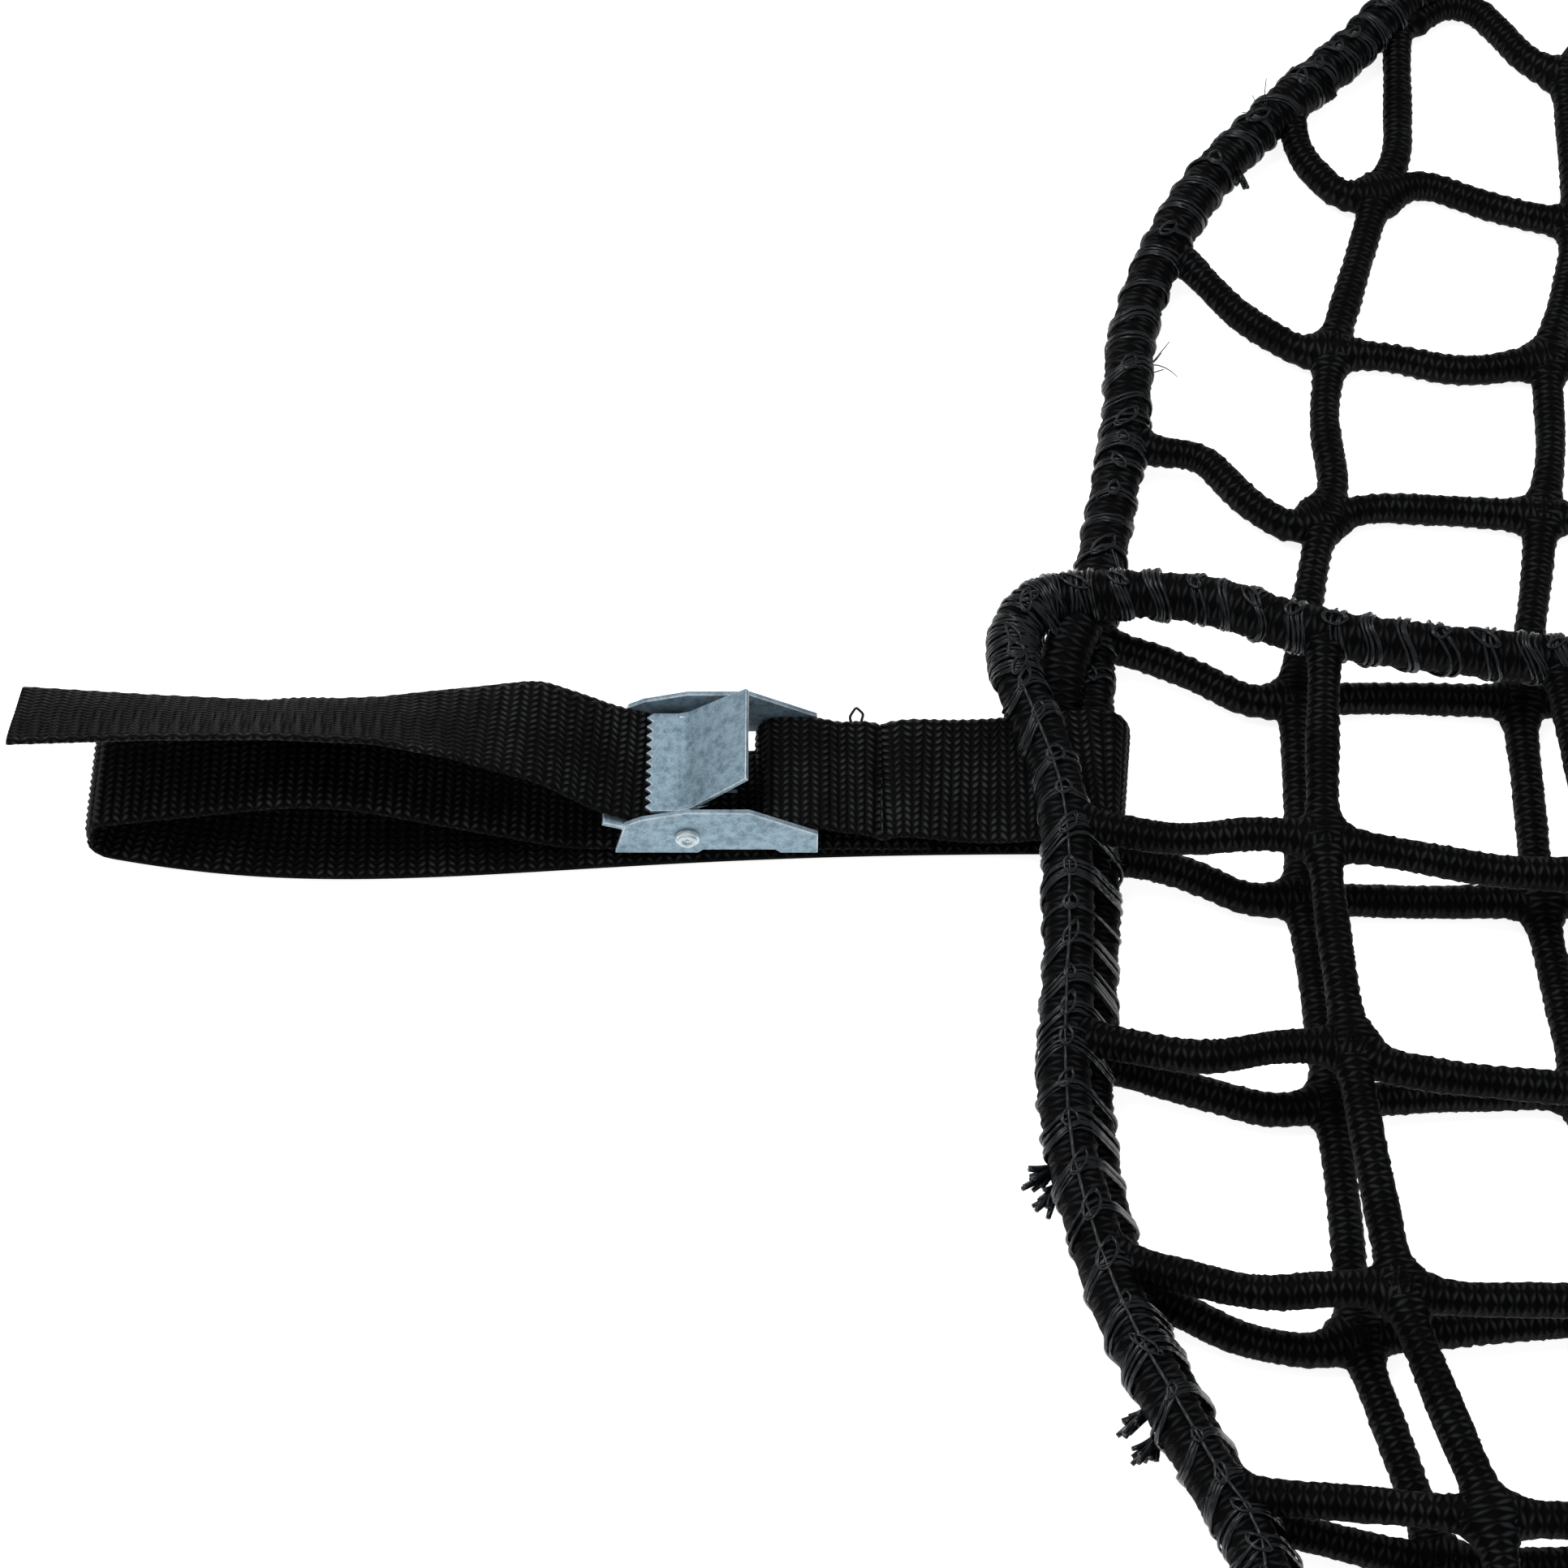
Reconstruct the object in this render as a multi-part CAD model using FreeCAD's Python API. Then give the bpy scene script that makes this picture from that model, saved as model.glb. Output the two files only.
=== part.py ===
"""Cargo climbing net: a knotless braided net with a lashed border rope, folded back on itself, and four webbing
straps with cam buckles looped round the border rope. All sizes are in millimetres and angles in degrees.

The net lies on z = 0. The layout is worked out in a frame whose zero is beside the near left strap, and every solid
is then moved so that the origin is at the centre of the folded net's footprint, on the surface that it lies on.
"""
import FreeCAD, Part
import math
import os

# net
MESH = 44.0  # centre to centre of neighbouring column cords
ROW_PITCH = 43.7  # centre to centre of neighbouring row cords
CORD_D = 6.0
ROPE_D = 9.0  # border rope
TWINE_D = 0.9  # twine that lashes the net to the border rope
COLUMNS = 13
LOWER_ROWS = 10
UPPER_ROWS = 5
UPPER_REST = 10.0  # height of the upper layer's cords where they lie on the lower layer
EDGE_RISE = 12.0  # how much higher the border ropes hold the upper layer beside them
EDGE_REACH = 100.0  # how far from a border rope that rise reaches
FAR_SWAY = 45.0  # how far the first column leans to the right at the far edge
FOLD_SWAY = 16.0  # and beside the fold
UPPER_SHIFT = 5.0  # how far the upper layer's first column lies to the right of the lower one
HITCH_PITCH = 22.0  # spacing of the twine's hitches along the rope

# straps
WEB_W = 25.0
WEB_T = 1.5
LAYER_GAP = 0.2  # between webbing and what it lies on
ROPE_GAP = 0.3  # between webbing and the rope inside its loop
LOOP_L = 185.0  # from the rope's axis to the fold of the hand loop
TAIL_L = 196.0  # from the rope's axis to the free end
STRAP_Y = -4.0  # middle of the near straps
ATTACH_GAP = 0.7  # between a strap's edge and the nearest row cord

# cam buckle
SHEET_T = 1.0
SIDE_GAP = 0.3  # between the webbing's edge and a side wall
FRAME_L = 37.2
WALL_H = 12.6
BUCKLE_X = -88.0  # front end of the frame, from the rope's axis
WINDOW_FRONT = 15.2  # from the frame's front end to the window
WINDOW_L = 15.2
AXLE_X = 13.4  # from the frame's front end to the axle
AXLE_UP = 4.0 + WEB_T  # from the frame's underside to the axle
AXLE_D = 2.5
RUNNING_GAP = 0.05  # radial, between the axle and the cam lever
RIVET_HEAD_D = 4.4
RIVET_HEAD_T = 1.0
CAM_W = WEB_W - 3
CAM_TIP_W = CAM_W - 2
CAM_T = 0.9
CAM_FRONT = 8.0  # from the axle forward to the tips of the teeth
CAM_UP = 3.5  # from the axle up to the middle of the toothed plate
THUMB_L = 14.6
THUMB_ANGLE = 39.0
TEETH = 11
TOOTH_L = 1.3
EAR_R = 2.3
SPRING_WIRE_D = 0.6
SPRING_TURNS = 7
STITCHES = 11
STITCH_BACK = 11.8  # from the frame's rear end to the stitch line

CORD_R = CORD_D / 2
ROPE_R = ROPE_D / 2
LOWER_Z = CORD_R
WEB_Z = WEB_T / 2
LOOP_R = ROPE_R + ROPE_GAP + WEB_T / 2  # webbing's middle, round the rope
ROPE_Z = LOOP_R + WEB_Z
LAYER = WEB_T + LAYER_GAP
FRAME_Z = WEB_Z + LAYER + WEB_T / 2 + LAYER_GAP
FRAME_IN = WEB_W + 2 * SIDE_GAP
FRAME_W = FRAME_IN + 2 * SHEET_T
ROPE_STEP = ROPE_D + 1.2  # upper border rope straight over the lower one
ROPE_SIDE = 0.49 * ROPE_D  # how far the upper border rope lies outside the lower one where it rests on its side
FIRST_ROW_Y = -27.0
FIRST_COLUMN_X = 95.0
LEFT_ROPE_X = 57.0
EDGE_MESH = 41.0  # from the last column cord to the right border rope
FOLD_Y = FIRST_ROW_Y - (UPPER_ROWS - 1) * ROW_PITCH - ROW_PITCH * 0.46
FAR_Y = FIRST_ROW_Y + (LOWER_ROWS - UPPER_ROWS) * ROW_PITCH + ROW_PITCH * 1.22
RIGHT_ROPE_X = FIRST_COLUMN_X + (COLUMNS - 1) * MESH + EDGE_MESH
MIDDLE_X = (LEFT_ROPE_X + RIGHT_ROPE_X) / 2
STRETCH = ROW_PITCH / 43.7  # the border's points are laid out for this pitch

V = FreeCAD.Vector
nodes = {}


# ---------------------------------------------------------------- curves and simple solids
def rounded_route(points, share=0.45):
    """The straight runs and tangent arcs along points: a list of edges."""
    edges = []
    here = points[0]
    for before, at, after in zip(points, points[1:], points[2:]):
        run_in = at - before
        run_out = after - at
        turn = run_in.getAngle(run_out)
        if turn < math.radians(0.1):
            continue
        back = share * min(run_in.Length, run_out.Length)
        start = at - V(run_in).normalize() * back
        end = at + V(run_out).normalize() * back
        radius = back / math.tan(turn / 2)
        inward = (V(run_out).normalize() - V(run_in).normalize()).normalize()
        middle = at + inward * (radius / math.cos(turn / 2) - radius)
        edges.append(Part.LineSegment(here, start).toShape())
        edges.append(Part.Arc(start, middle, end).toShape())
        here = end
    edges.append(Part.LineSegment(here, points[-1]).toShape())
    return edges


def tube(points, radius):
    """A round cord along a rounded route."""
    wire = Part.Wire(rounded_route(points))
    circle = Part.Wire(Part.makeCircle(radius, points[0], points[1] - points[0]))
    shape = wire.makePipeShell([circle], True, False)
    solid = shape.Solids[0] if shape.Solids else Part.Solid(shape.Shells[0])
    if solid.Volume < 0:
        solid.reverse()
    wanted = math.pi * radius**2 * wire.Length
    if not solid.isValid() or abs(solid.Volume / wanted - 1) > 0.02:
        raise ValueError("a cord along %s has a bad solid" % points[0])
    return solid


def half_bend(x, y, low, high, radius):
    """A cord's half turn, open towards +Y, from height low up to height high."""
    middle = (low + high) / 2
    arc = Part.Arc(V(x, y, low), V(x, y - (high - low) / 2, middle), V(x, y, high))
    wire = Part.Wire(arc.toShape())
    circle = Part.Wire(Part.makeCircle(radius, V(x, y, low), V(0, 1, 0)))
    return wire.makePipeShell([circle], True, False).Solids[0]


def ribbon(corners, thickness, width):
    """A flat band: its middle line runs through corners, (x, z, bend radius), and it is as wide as width along Y."""
    sides = {1: [], -1: []}
    points = [V(x, 0, z) for x, z, _ in corners]
    here = points[0]
    for number in range(1, len(points) - 1):
        at = points[number]
        run_in = V(at - points[number - 1]).normalize()
        run_out = V(points[number + 1] - at).normalize()
        turn = run_in.getAngle(run_out)
        room = min((at - points[number - 1]).Length, (points[number + 1] - at).Length) * 0.499
        back = min(corners[number][2] * math.tan(turn / 2), room)
        radius = back / math.tan(turn / 2)
        start = at - run_in * back
        end = at + run_out * back
        left = 1 if run_in.cross(run_out).y < 0 else -1
        centre = start + left_of(run_in) * radius * left
        inward = V(run_out - run_in).normalize()
        middle = centre - inward * radius
        for side in sides:
            shift = side * thickness / 2
            grown = (radius - left * shift) / radius
            a, b, c = [centre + (p - centre) * grown for p in (start, middle, end)]
            sides[side].append((here + left_of(run_in) * shift, a, b, c))
        here = end
    last = V(points[-1] - points[-2]).normalize()
    outlines = []
    for side in sides:
        shift = side * thickness / 2
        edges = []
        for line_start, a, b, c in sides[side]:
            edges.append(Part.LineSegment(line_start, a).toShape())
            edges.append(Part.Arc(a, b, c).toShape())
        finish = points[-1] + left_of(last) * shift
        begin = sides[side][-1][3]
        edges.append(Part.LineSegment(begin, finish).toShape())
        outlines.append((edges, sides[side][0][0], finish))
    caps = [Part.LineSegment(outlines[0][k], outlines[1][k]).toShape() for k in (1, 2)]
    wire = Part.Wire(Part.__sortEdges__(outlines[0][0] + outlines[1][0] + caps))
    return Part.Face(wire).extrude(V(0, width, 0)).translated(V(0, -width / 2, 0))


def left_of(direction):
    """The unit vector to the left of a direction in the XZ plane, seen from -Y."""
    return V(-direction.z, 0, direction.x)


def plate(outline, y_low, y_high):
    """A flat plate with an outline of (x, z) corners, between two values of Y."""
    points = [V(x, y_low, z) for x, z in outline]
    return Part.Face(Part.makePolygon(points + points[:1])).extrude(V(0, y_high - y_low, 0))


def rod(x, z, radius, y_low, y_high):
    return Part.makeCylinder(radius, y_high - y_low, V(x, y_low, z), V(0, 1, 0))


# ---------------------------------------------------------------- how the net lies
def along(y):
    """Where a point of the border lies for the present row pitch."""
    return STRAP_Y + (y - STRAP_Y) * STRETCH


def sway(y):
    """How far the first column of the lower layer lies to the right of its straight place."""
    y = STRAP_Y + (y - STRAP_Y) / STRETCH
    if y > -10:
        return FAR_SWAY * ((y + 10) / 199) ** 1.6
    if y < -60:
        return FOLD_SWAY * math.sin(math.pi * (-60 - y) / 300) ** 2
    return 0.0


def column_x(number, y, shift=0.0):
    taper = 1 - number / (COLUMNS - 1)
    return FIRST_COLUMN_X + number * MESH + (sway(y) + shift) * taper


def upper_z(x):
    """Height of the upper layer: held up by the border ropes at both sides."""
    beside = min(x - LEFT_ROPE_X, RIGHT_ROPE_X - x)
    return UPPER_REST + EDGE_RISE * math.exp(-((beside / EDGE_REACH) ** 2))


def mirrored(points):
    """The same route on the right side, in the opposite order."""
    return [V(2 * MIDDLE_X - p.x, p.y, p.z) for p in reversed(points)]


def at_y(points, y):
    """The place on a route where it passes y."""
    for a, b in zip(points, points[1:]):
        if min(a.y, b.y) <= y <= max(a.y, b.y):
            return a + (b - a) * ((y - a.y) / (b.y - a.y))
    return min(points, key=lambda p: abs(p.y - y))


def at_x(points, x):
    """The place on a route where it passes x."""
    for a, b in zip(points, points[1:]):
        if min(a.x, b.x) <= x <= max(a.x, b.x):
            return a + (b - a) * ((x - a.x) / (b.x - a.x))
    return min(points, key=lambda p: abs(p.x - x))


FAR_STRAP_Y = FAR_Y - WEB_W / 2 - 12.3  # middle of the far straps
UPPER_ROPE_Z = ROPE_Z + 0.922 * ROPE_D
OVER_STRAP_Z = ROPE_Z + LOOP_R + WEB_T / 2 + 0.1 + ROPE_R
FOLD_TOP_Z = ROPE_Z + ROPE_STEP

LOWER_LEFT = [
    V(78, FOLD_Y, ROPE_Z),
    V(78, along(-205), ROPE_Z),
    V(82, along(-180), ROPE_Z),
    V(80, along(-160), ROPE_Z),
    V(71, along(-143), ROPE_Z),
    V(60, along(-118), ROPE_Z),
    V(52, along(-82), ROPE_Z),
    V(55, along(-48), ROPE_Z),
    V(LEFT_ROPE_X, along(-20), ROPE_Z),
    V(LEFT_ROPE_X, along(12), ROPE_Z),
    V(58.5, along(34), ROPE_Z),
    V(62.5, along(56), ROPE_Z),
    V(67.4, along(80), ROPE_Z),
    V(69, along(104), ROPE_Z),
    V(76, along(126), ROPE_Z),
    V(87, along(148), ROPE_Z),
    V(104, along(168), ROPE_Z),
    V(122, along(187), ROPE_Z),
    V(135, FAR_STRAP_Y - 16, ROPE_Z),
    V(137, FAR_STRAP_Y + 2, ROPE_Z),
    V(137, FAR_STRAP_Y + 16, ROPE_Z),
]
UPPER_LEFT = [
    V(78, FOLD_Y, FOLD_TOP_Z),
    V(78, along(-205), FOLD_TOP_Z),
    V(79, along(-180), FOLD_TOP_Z - 0.6),
    V(76, along(-160), UPPER_ROPE_Z + 0.4),
    V(67, along(-143), UPPER_ROPE_Z),
    V(56, along(-118), UPPER_ROPE_Z),
    V(52 - ROPE_SIDE, along(-82), UPPER_ROPE_Z),
    V(55 - ROPE_SIDE, along(-48), UPPER_ROPE_Z + 0.4),
    V(49.2, along(-22), OVER_STRAP_Z),
    V(49, along(10), OVER_STRAP_Z),
]
NEAR_LEFT = [
    V(49, along(10), OVER_STRAP_Z),
    V(45.5, along(21), OVER_STRAP_Z),
    V(50, along(31), OVER_STRAP_Z),
    V(62, along(31.5), OVER_STRAP_Z + 0.3),
    V(79, along(29), OVER_STRAP_Z + 2),
    V(97, along(20), OVER_STRAP_Z + 3.4),
    V(124, along(17), OVER_STRAP_Z + 1.5),
    V(160, along(16.5), 14),
    V(230, along(17), UPPER_REST + 1.2),
]
LOWER_RIGHT = [
    V(RIGHT_ROPE_X, FAR_Y - 13, ROPE_Z),
    V(RIGHT_ROPE_X + 1.5, along(120), ROPE_Z),
    V(RIGHT_ROPE_X, along(20), ROPE_Z),
    V(RIGHT_ROPE_X, along(-22), ROPE_Z),
    V(RIGHT_ROPE_X - 1.5, along(-110), ROPE_Z),
    V(RIGHT_ROPE_X, FOLD_Y + 20, ROPE_Z),
    V(RIGHT_ROPE_X, FOLD_Y, ROPE_Z),
]
UPPER_RIGHT = [
    V(RIGHT_ROPE_X + 8, along(10), OVER_STRAP_Z),
    V(RIGHT_ROPE_X + 7.8, along(-22), OVER_STRAP_Z),
    V(RIGHT_ROPE_X + 4.4, along(-48), UPPER_ROPE_Z + 0.4),
    V(RIGHT_ROPE_X + 2.9, along(-110), UPPER_ROPE_Z),
    V(RIGHT_ROPE_X + 3, along(-170), UPPER_ROPE_Z + 0.6),
    V(RIGHT_ROPE_X, FOLD_Y + 20, FOLD_TOP_Z),
    V(RIGHT_ROPE_X, FOLD_Y, FOLD_TOP_Z),
]
FAR_ROUTE = [
    V(137, FAR_STRAP_Y + 16, ROPE_Z),
    V(139, FAR_Y - 4, ROPE_Z),
    V(153, FAR_Y, ROPE_Z),
    V(220, FAR_Y + 2, ROPE_Z),
    V(MIDDLE_X, FAR_Y, ROPE_Z),
    V(RIGHT_ROPE_X - 110, FAR_Y + 1.5, ROPE_Z),
    V(RIGHT_ROPE_X - 14, FAR_Y, ROPE_Z),
    V(RIGHT_ROPE_X - 1, FAR_Y - 3, ROPE_Z),
    V(RIGHT_ROPE_X, FAR_Y - 13, ROPE_Z),
]
NEAR_ROUTE = NEAR_LEFT + [V(MIDDLE_X, 16, UPPER_REST + 1)] + mirrored(NEAR_LEFT)


def off_straps(y, row):
    """Y moved clear of the straps, to the side that the row at y = row is on."""
    clear = WEB_W / 2 + CORD_R + ATTACH_GAP
    for strap in (STRAP_Y, FAR_STRAP_Y):
        y = min(y, strap - clear) if row < strap else max(y, strap + clear)
    return y


def attach_y(y):
    """Where a row cord meets the left border rope: the rope was drawn a little further along than the net."""
    return off_straps(y + 7 + 0.12 * max(y - FIRST_ROW_Y, 0), y)


def row_y(number):
    return FIRST_ROW_Y + number * ROW_PITCH


def lower_row(number):
    y = row_y(number)
    points = [at_y(LOWER_LEFT, attach_y(y))]
    points += [V(column_x(i, y), y, LOWER_Z) for i in range(COLUMNS)]
    points += [at_y(LOWER_RIGHT, off_straps(y + 2, y))]
    return tube(points, CORD_R)


def upper_row(number):
    y = row_y(number)
    points = [at_y(UPPER_LEFT, attach_y(y))]
    for i in range(COLUMNS):
        x = column_x(i, y, UPPER_SHIFT)
        points.append(V(x, y, upper_z(column_x(i, 0))))
    points.append(at_y(UPPER_RIGHT, off_straps(y + 2, y)))
    return tube(points, CORD_R)


def fold_x(number):
    return column_x(number, FOLD_Y)


def lower_column(number):
    ys = [row_y(j) for j in range(1 - UPPER_ROWS, LOWER_ROWS - UPPER_ROWS + 1)]
    points = [V(fold_x(number), FOLD_Y, LOWER_Z)]
    points += [V(column_x(number, y), y, LOWER_Z) for y in ys]
    end = at_x(FAR_ROUTE, column_x(number, FAR_Y))
    return tube(points + [end], CORD_R)


def upper_column(number):
    z = upper_z(column_x(number, 0))
    ys = [row_y(j) for j in range(1 - UPPER_ROWS, 1)]
    points = [V(fold_x(number), FOLD_Y, z)]
    points += [V(column_x(number, y, UPPER_SHIFT), y, z) for y in ys]
    end = at_x(NEAR_ROUTE, column_x(number, 0, UPPER_SHIFT))
    return tube(points + [end], CORD_R)


def fold_bend(number):
    return half_bend(fold_x(number), FOLD_Y, LOWER_Z, upper_z(column_x(number, 0)), CORD_R)


def hitches(points, kept):
    """Rings of lashing twine round a rope, each hitch_pitch along it, where kept(place) says so."""
    rings = []
    wanted = HITCH_PITCH / 2
    walked = 0.0
    for a, b in zip(points, points[1:]):
        run = b - a
        while wanted < walked + run.Length:
            place = a + run * ((wanted - walked) / run.Length)
            if kept(place):
                rings.append(Part.makeTorus(ROPE_R + TWINE_D / 2, TWINE_D / 2, place, run))
            wanted += HITCH_PITCH
        walked += run.Length
    return rings


def clear_of_straps(place):
    for strap in (STRAP_Y, FAR_STRAP_Y):
        if abs(place.y - strap) < WEB_W / 2 + TWINE_D + 1:
            return False
    return True


def make_net():
    rows = range(1 - UPPER_ROWS, LOWER_ROWS - UPPER_ROWS + 1)
    nodes["row_cords_lower"] = [lower_row(j) for j in rows]
    nodes["row_cords_upper"] = [upper_row(j) for j in range(1 - UPPER_ROWS, 1)]
    nodes["column_cords_lower"] = [lower_column(i) for i in range(COLUMNS)]
    nodes["column_cords_upper"] = [upper_column(i) for i in range(COLUMNS)]
    nodes["column_cords_fold"] = [fold_bend(i) for i in range(COLUMNS)]
    nodes["border_rope_lower_left"] = [tube(LOWER_LEFT, ROPE_R)]
    nodes["border_rope_lower_right"] = [tube(LOWER_RIGHT, ROPE_R)]
    nodes["border_rope_upper_left"] = [tube(UPPER_LEFT, ROPE_R)]
    nodes["border_rope_upper_right"] = [tube(UPPER_RIGHT, ROPE_R)]
    nodes["border_rope_far"] = [tube(FAR_ROUTE, ROPE_R)]
    nodes["border_rope_near"] = [tube(NEAR_ROUTE, ROPE_R)]
    nodes["border_rope_folds"] = [
        half_bend(x, FOLD_Y, ROPE_Z, FOLD_TOP_Z, ROPE_R) for x in (LOWER_LEFT[0].x, RIGHT_ROPE_X)
    ]
    lower = (LOWER_LEFT, FAR_ROUTE, LOWER_RIGHT)
    upper = (UPPER_LEFT, NEAR_ROUTE, UPPER_RIGHT)
    nodes["edge_lashing_lower"] = [r for route in lower for r in hitches(route, clear_of_straps)]
    nodes["edge_lashing_upper"] = [r for route in upper for r in hitches(route, clear_of_straps)]


# ---------------------------------------------------------------- one strap, pointing to -X from the rope at x = 0
FRAME_BACK = BUCKLE_X + FRAME_L
STITCH_X = FRAME_BACK + STITCH_BACK  # stitch line, from the rope's axis
WINDOW_X = BUCKLE_X + WINDOW_FRONT
BAR_X = WINDOW_X + WINDOW_L
BASE_Z = FRAME_Z + SHEET_T / 2
PLATE_TO_WEB = SHEET_T / 2 + LAYER_GAP + WEB_T / 2
AXLE = (BUCKLE_X + AXLE_X, FRAME_Z + AXLE_UP)
LIP = [
    (WINDOW_X, BASE_Z),
    (BUCKLE_X + 11.2, BASE_Z),
    (BUCKLE_X + 6.0, BASE_Z + 5.1),
    (BUCKLE_X - 2.0, BASE_Z + 8.1),
]


def beside(route, gap):
    """The corners of a line that runs at a gap above a route of (x, z) corners that goes towards -X."""
    lines = []
    for (x0, z0), (x1, z1) in zip(route, route[1:]):
        along = V(x1 - x0, 0, z1 - z0).normalize()
        out = V(along.z, 0, -along.x)
        lines.append((V(x0, 0, z0) + out * gap, along))
    corners = [lines[0][0]]
    for (p, a), (q, b) in zip(lines, lines[1:]):
        reach = ((q.x - p.x) * b.z - (q.z - p.z) * b.x) / (a.x * b.z - a.z * b.x)
        corners.append(p + a * reach)
    last = V(route[-1][0], 0, route[-1][1])
    corners.append(last + (lines[-1][0] - V(route[-2][0], 0, route[-2][1])))
    return [(c.x, c.z) for c in corners]


def webbing():
    """The whole strap: sewn loop on the rear bar, round the rope, hand loop, through the cam, and the free tail."""
    under = WEB_Z + LAYER
    bar_loop_r = 3.55
    u_turn_r = PLATE_TO_WEB
    loop_top = ROPE_Z + LOOP_R
    fold_r = 4.2
    over_lip = beside(LIP, PLATE_TO_WEB)
    corners = [
        (STITCH_X + 9, under, 0),
        (BAR_X - 0.4 - bar_loop_r, under, bar_loop_r),
        (BAR_X - 0.4 - bar_loop_r, under + 2 * bar_loop_r, bar_loop_r),
        (STITCH_X - 11, under + 2 * bar_loop_r - 0.2, 8),
        (STITCH_X, under + LAYER + 0.3, 12),
        (-20, under + LAYER + 1.8, 60),
        (-7, loop_top - 0.15, 22),
        (LOOP_R, loop_top, LOOP_R - 0.02),
        (LOOP_R, WEB_Z, LOOP_R - 0.02),
        (-LOOP_L + WEB_T / 2, WEB_Z, fold_r),
        (-LOOP_L + WEB_T / 2, WEB_Z + 2.1 * fold_r, fold_r * 0.9),
        (-LOOP_L + 44, WEB_Z + 16.3, 45),
        (BUCKLE_X - 9, under + 0.3, 25),
        (WINDOW_X + 0.2 + u_turn_r, under, u_turn_r),
        (WINDOW_X + 0.2 + u_turn_r, under + 2 * u_turn_r, u_turn_r - 0.02),
        (*over_lip[1], 2.6),
        (*over_lip[2], 4),
        (*over_lip[3], 25),
        (BUCKLE_X - 14, BASE_Z + 17.2, 14),
        (BUCKLE_X - 40, BASE_Z + 19, 60),
        (-TAIL_L, BASE_Z + 23, 0),
    ]
    return ribbon(corners, WEB_T, WEB_W)


def side_wall(y_low):
    top = FRAME_Z + WALL_H
    outline = [
        (BUCKLE_X, FRAME_Z),
        (BUCKLE_X + 2.0, FRAME_Z + 8.6),
        (BUCKLE_X + 5.0, top - 2.2),
        (BUCKLE_X + 13.2, top),
        (BUCKLE_X + 24.8, top),
        (FRAME_BACK, top - 6.8),
        (FRAME_BACK, FRAME_Z),
        (BAR_X, FRAME_Z),
        (BAR_X - 1, FRAME_Z + SHEET_T),
        (WINDOW_X + 1, FRAME_Z + SHEET_T),
        (WINDOW_X, FRAME_Z),
    ]
    wall = plate(outline, y_low, y_low + SHEET_T)
    hole = rod(AXLE[0], AXLE[1], AXLE_D / 2 + RUNNING_GAP, y_low - 1, y_low + SHEET_T + 1)
    return wall.cut(hole)


def buckle_frame():
    inner = FRAME_IN / 2
    lip = ribbon([(x, z, 2.2) for x, z in LIP], SHEET_T, FRAME_IN + SHEET_T)
    bar = Part.makeBox(FRAME_BACK - BAR_X, FRAME_IN + SHEET_T, SHEET_T,
                       V(BAR_X, -inner - SHEET_T / 2, FRAME_Z))
    walls = [side_wall(inner), side_wall(-inner - SHEET_T)]
    return walls[0].fuse([walls[1], lip, bar]).removeSplitter()


def cam_lever():
    """Toothed plate, thumb plate and two ears, bent from one sheet."""
    x, z = AXLE
    plate_z = z + CAM_UP
    rise = math.radians(THUMB_ANGLE)
    bend = x - 0.4
    corners = [
        (x - CAM_FRONT + TOOTH_L, plate_z, 0),
        (bend, plate_z, 3),
        (bend + THUMB_L * math.cos(rise), plate_z + THUMB_L * math.sin(rise), 0),
    ]
    body = ribbon(corners, CAM_T, CAM_W)
    narrow = (CAM_W - CAM_TIP_W) / 2
    tip = bend + THUMB_L * math.cos(rise) + 1
    for side in (1, -1):
        edge = side * CAM_W / 2
        wedge = [V(bend + 1, edge, 0), V(tip, edge - side * narrow, 0), V(tip, edge + side, 0)]
        wedge = Part.Face(Part.makePolygon(wedge + wedge[:1]))
        body = body.cut(wedge.extrude(V(0, 0, 60)))
    pitch = CAM_W / TEETH
    for number in range(TEETH):
        y = -CAM_W / 2 + number * pitch
        root = x - CAM_FRONT + TOOTH_L + 0.2
        tooth = [V(root, y, 0), V(root, y + pitch, 0), V(root - TOOTH_L, y + pitch / 2, 0)]
        tooth = Part.Face(Part.makePolygon(tooth + tooth[:1])).extrude(V(0, 0, CAM_T))
        body = body.fuse(tooth.translated(V(0, 0, plate_z - CAM_T / 2)))
    for y_low in (-CAM_W / 2, CAM_W / 2 - CAM_T):
        outline = [
            (x - EAR_R * 0.9, z - 0.6),
            (x - 3.4, plate_z),
            (x + 2.2, plate_z + 1.6),
            (x + EAR_R * 0.9, z - 0.6),
        ]
        ear = plate(outline, y_low, y_low + CAM_T).fuse(rod(x, z, EAR_R, y_low, y_low + CAM_T))
        body = body.fuse(ear)
    hole = rod(x, z, AXLE_D / 2 + RUNNING_GAP, -CAM_W, CAM_W)
    return body.cut(hole).removeSplitter()


def axle_rivet():
    x, z = AXLE
    outer = FRAME_W / 2 + 0.05
    shape = rod(x, z, AXLE_D / 2, -outer - 0.5, outer + 0.5)
    for y_low in (outer, -outer - RIVET_HEAD_T):
        head = rod(x, z, RIVET_HEAD_D / 2, y_low, y_low + RIVET_HEAD_T)
        shape = shape.fuse(head)
    return shape.removeSplitter()


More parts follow.
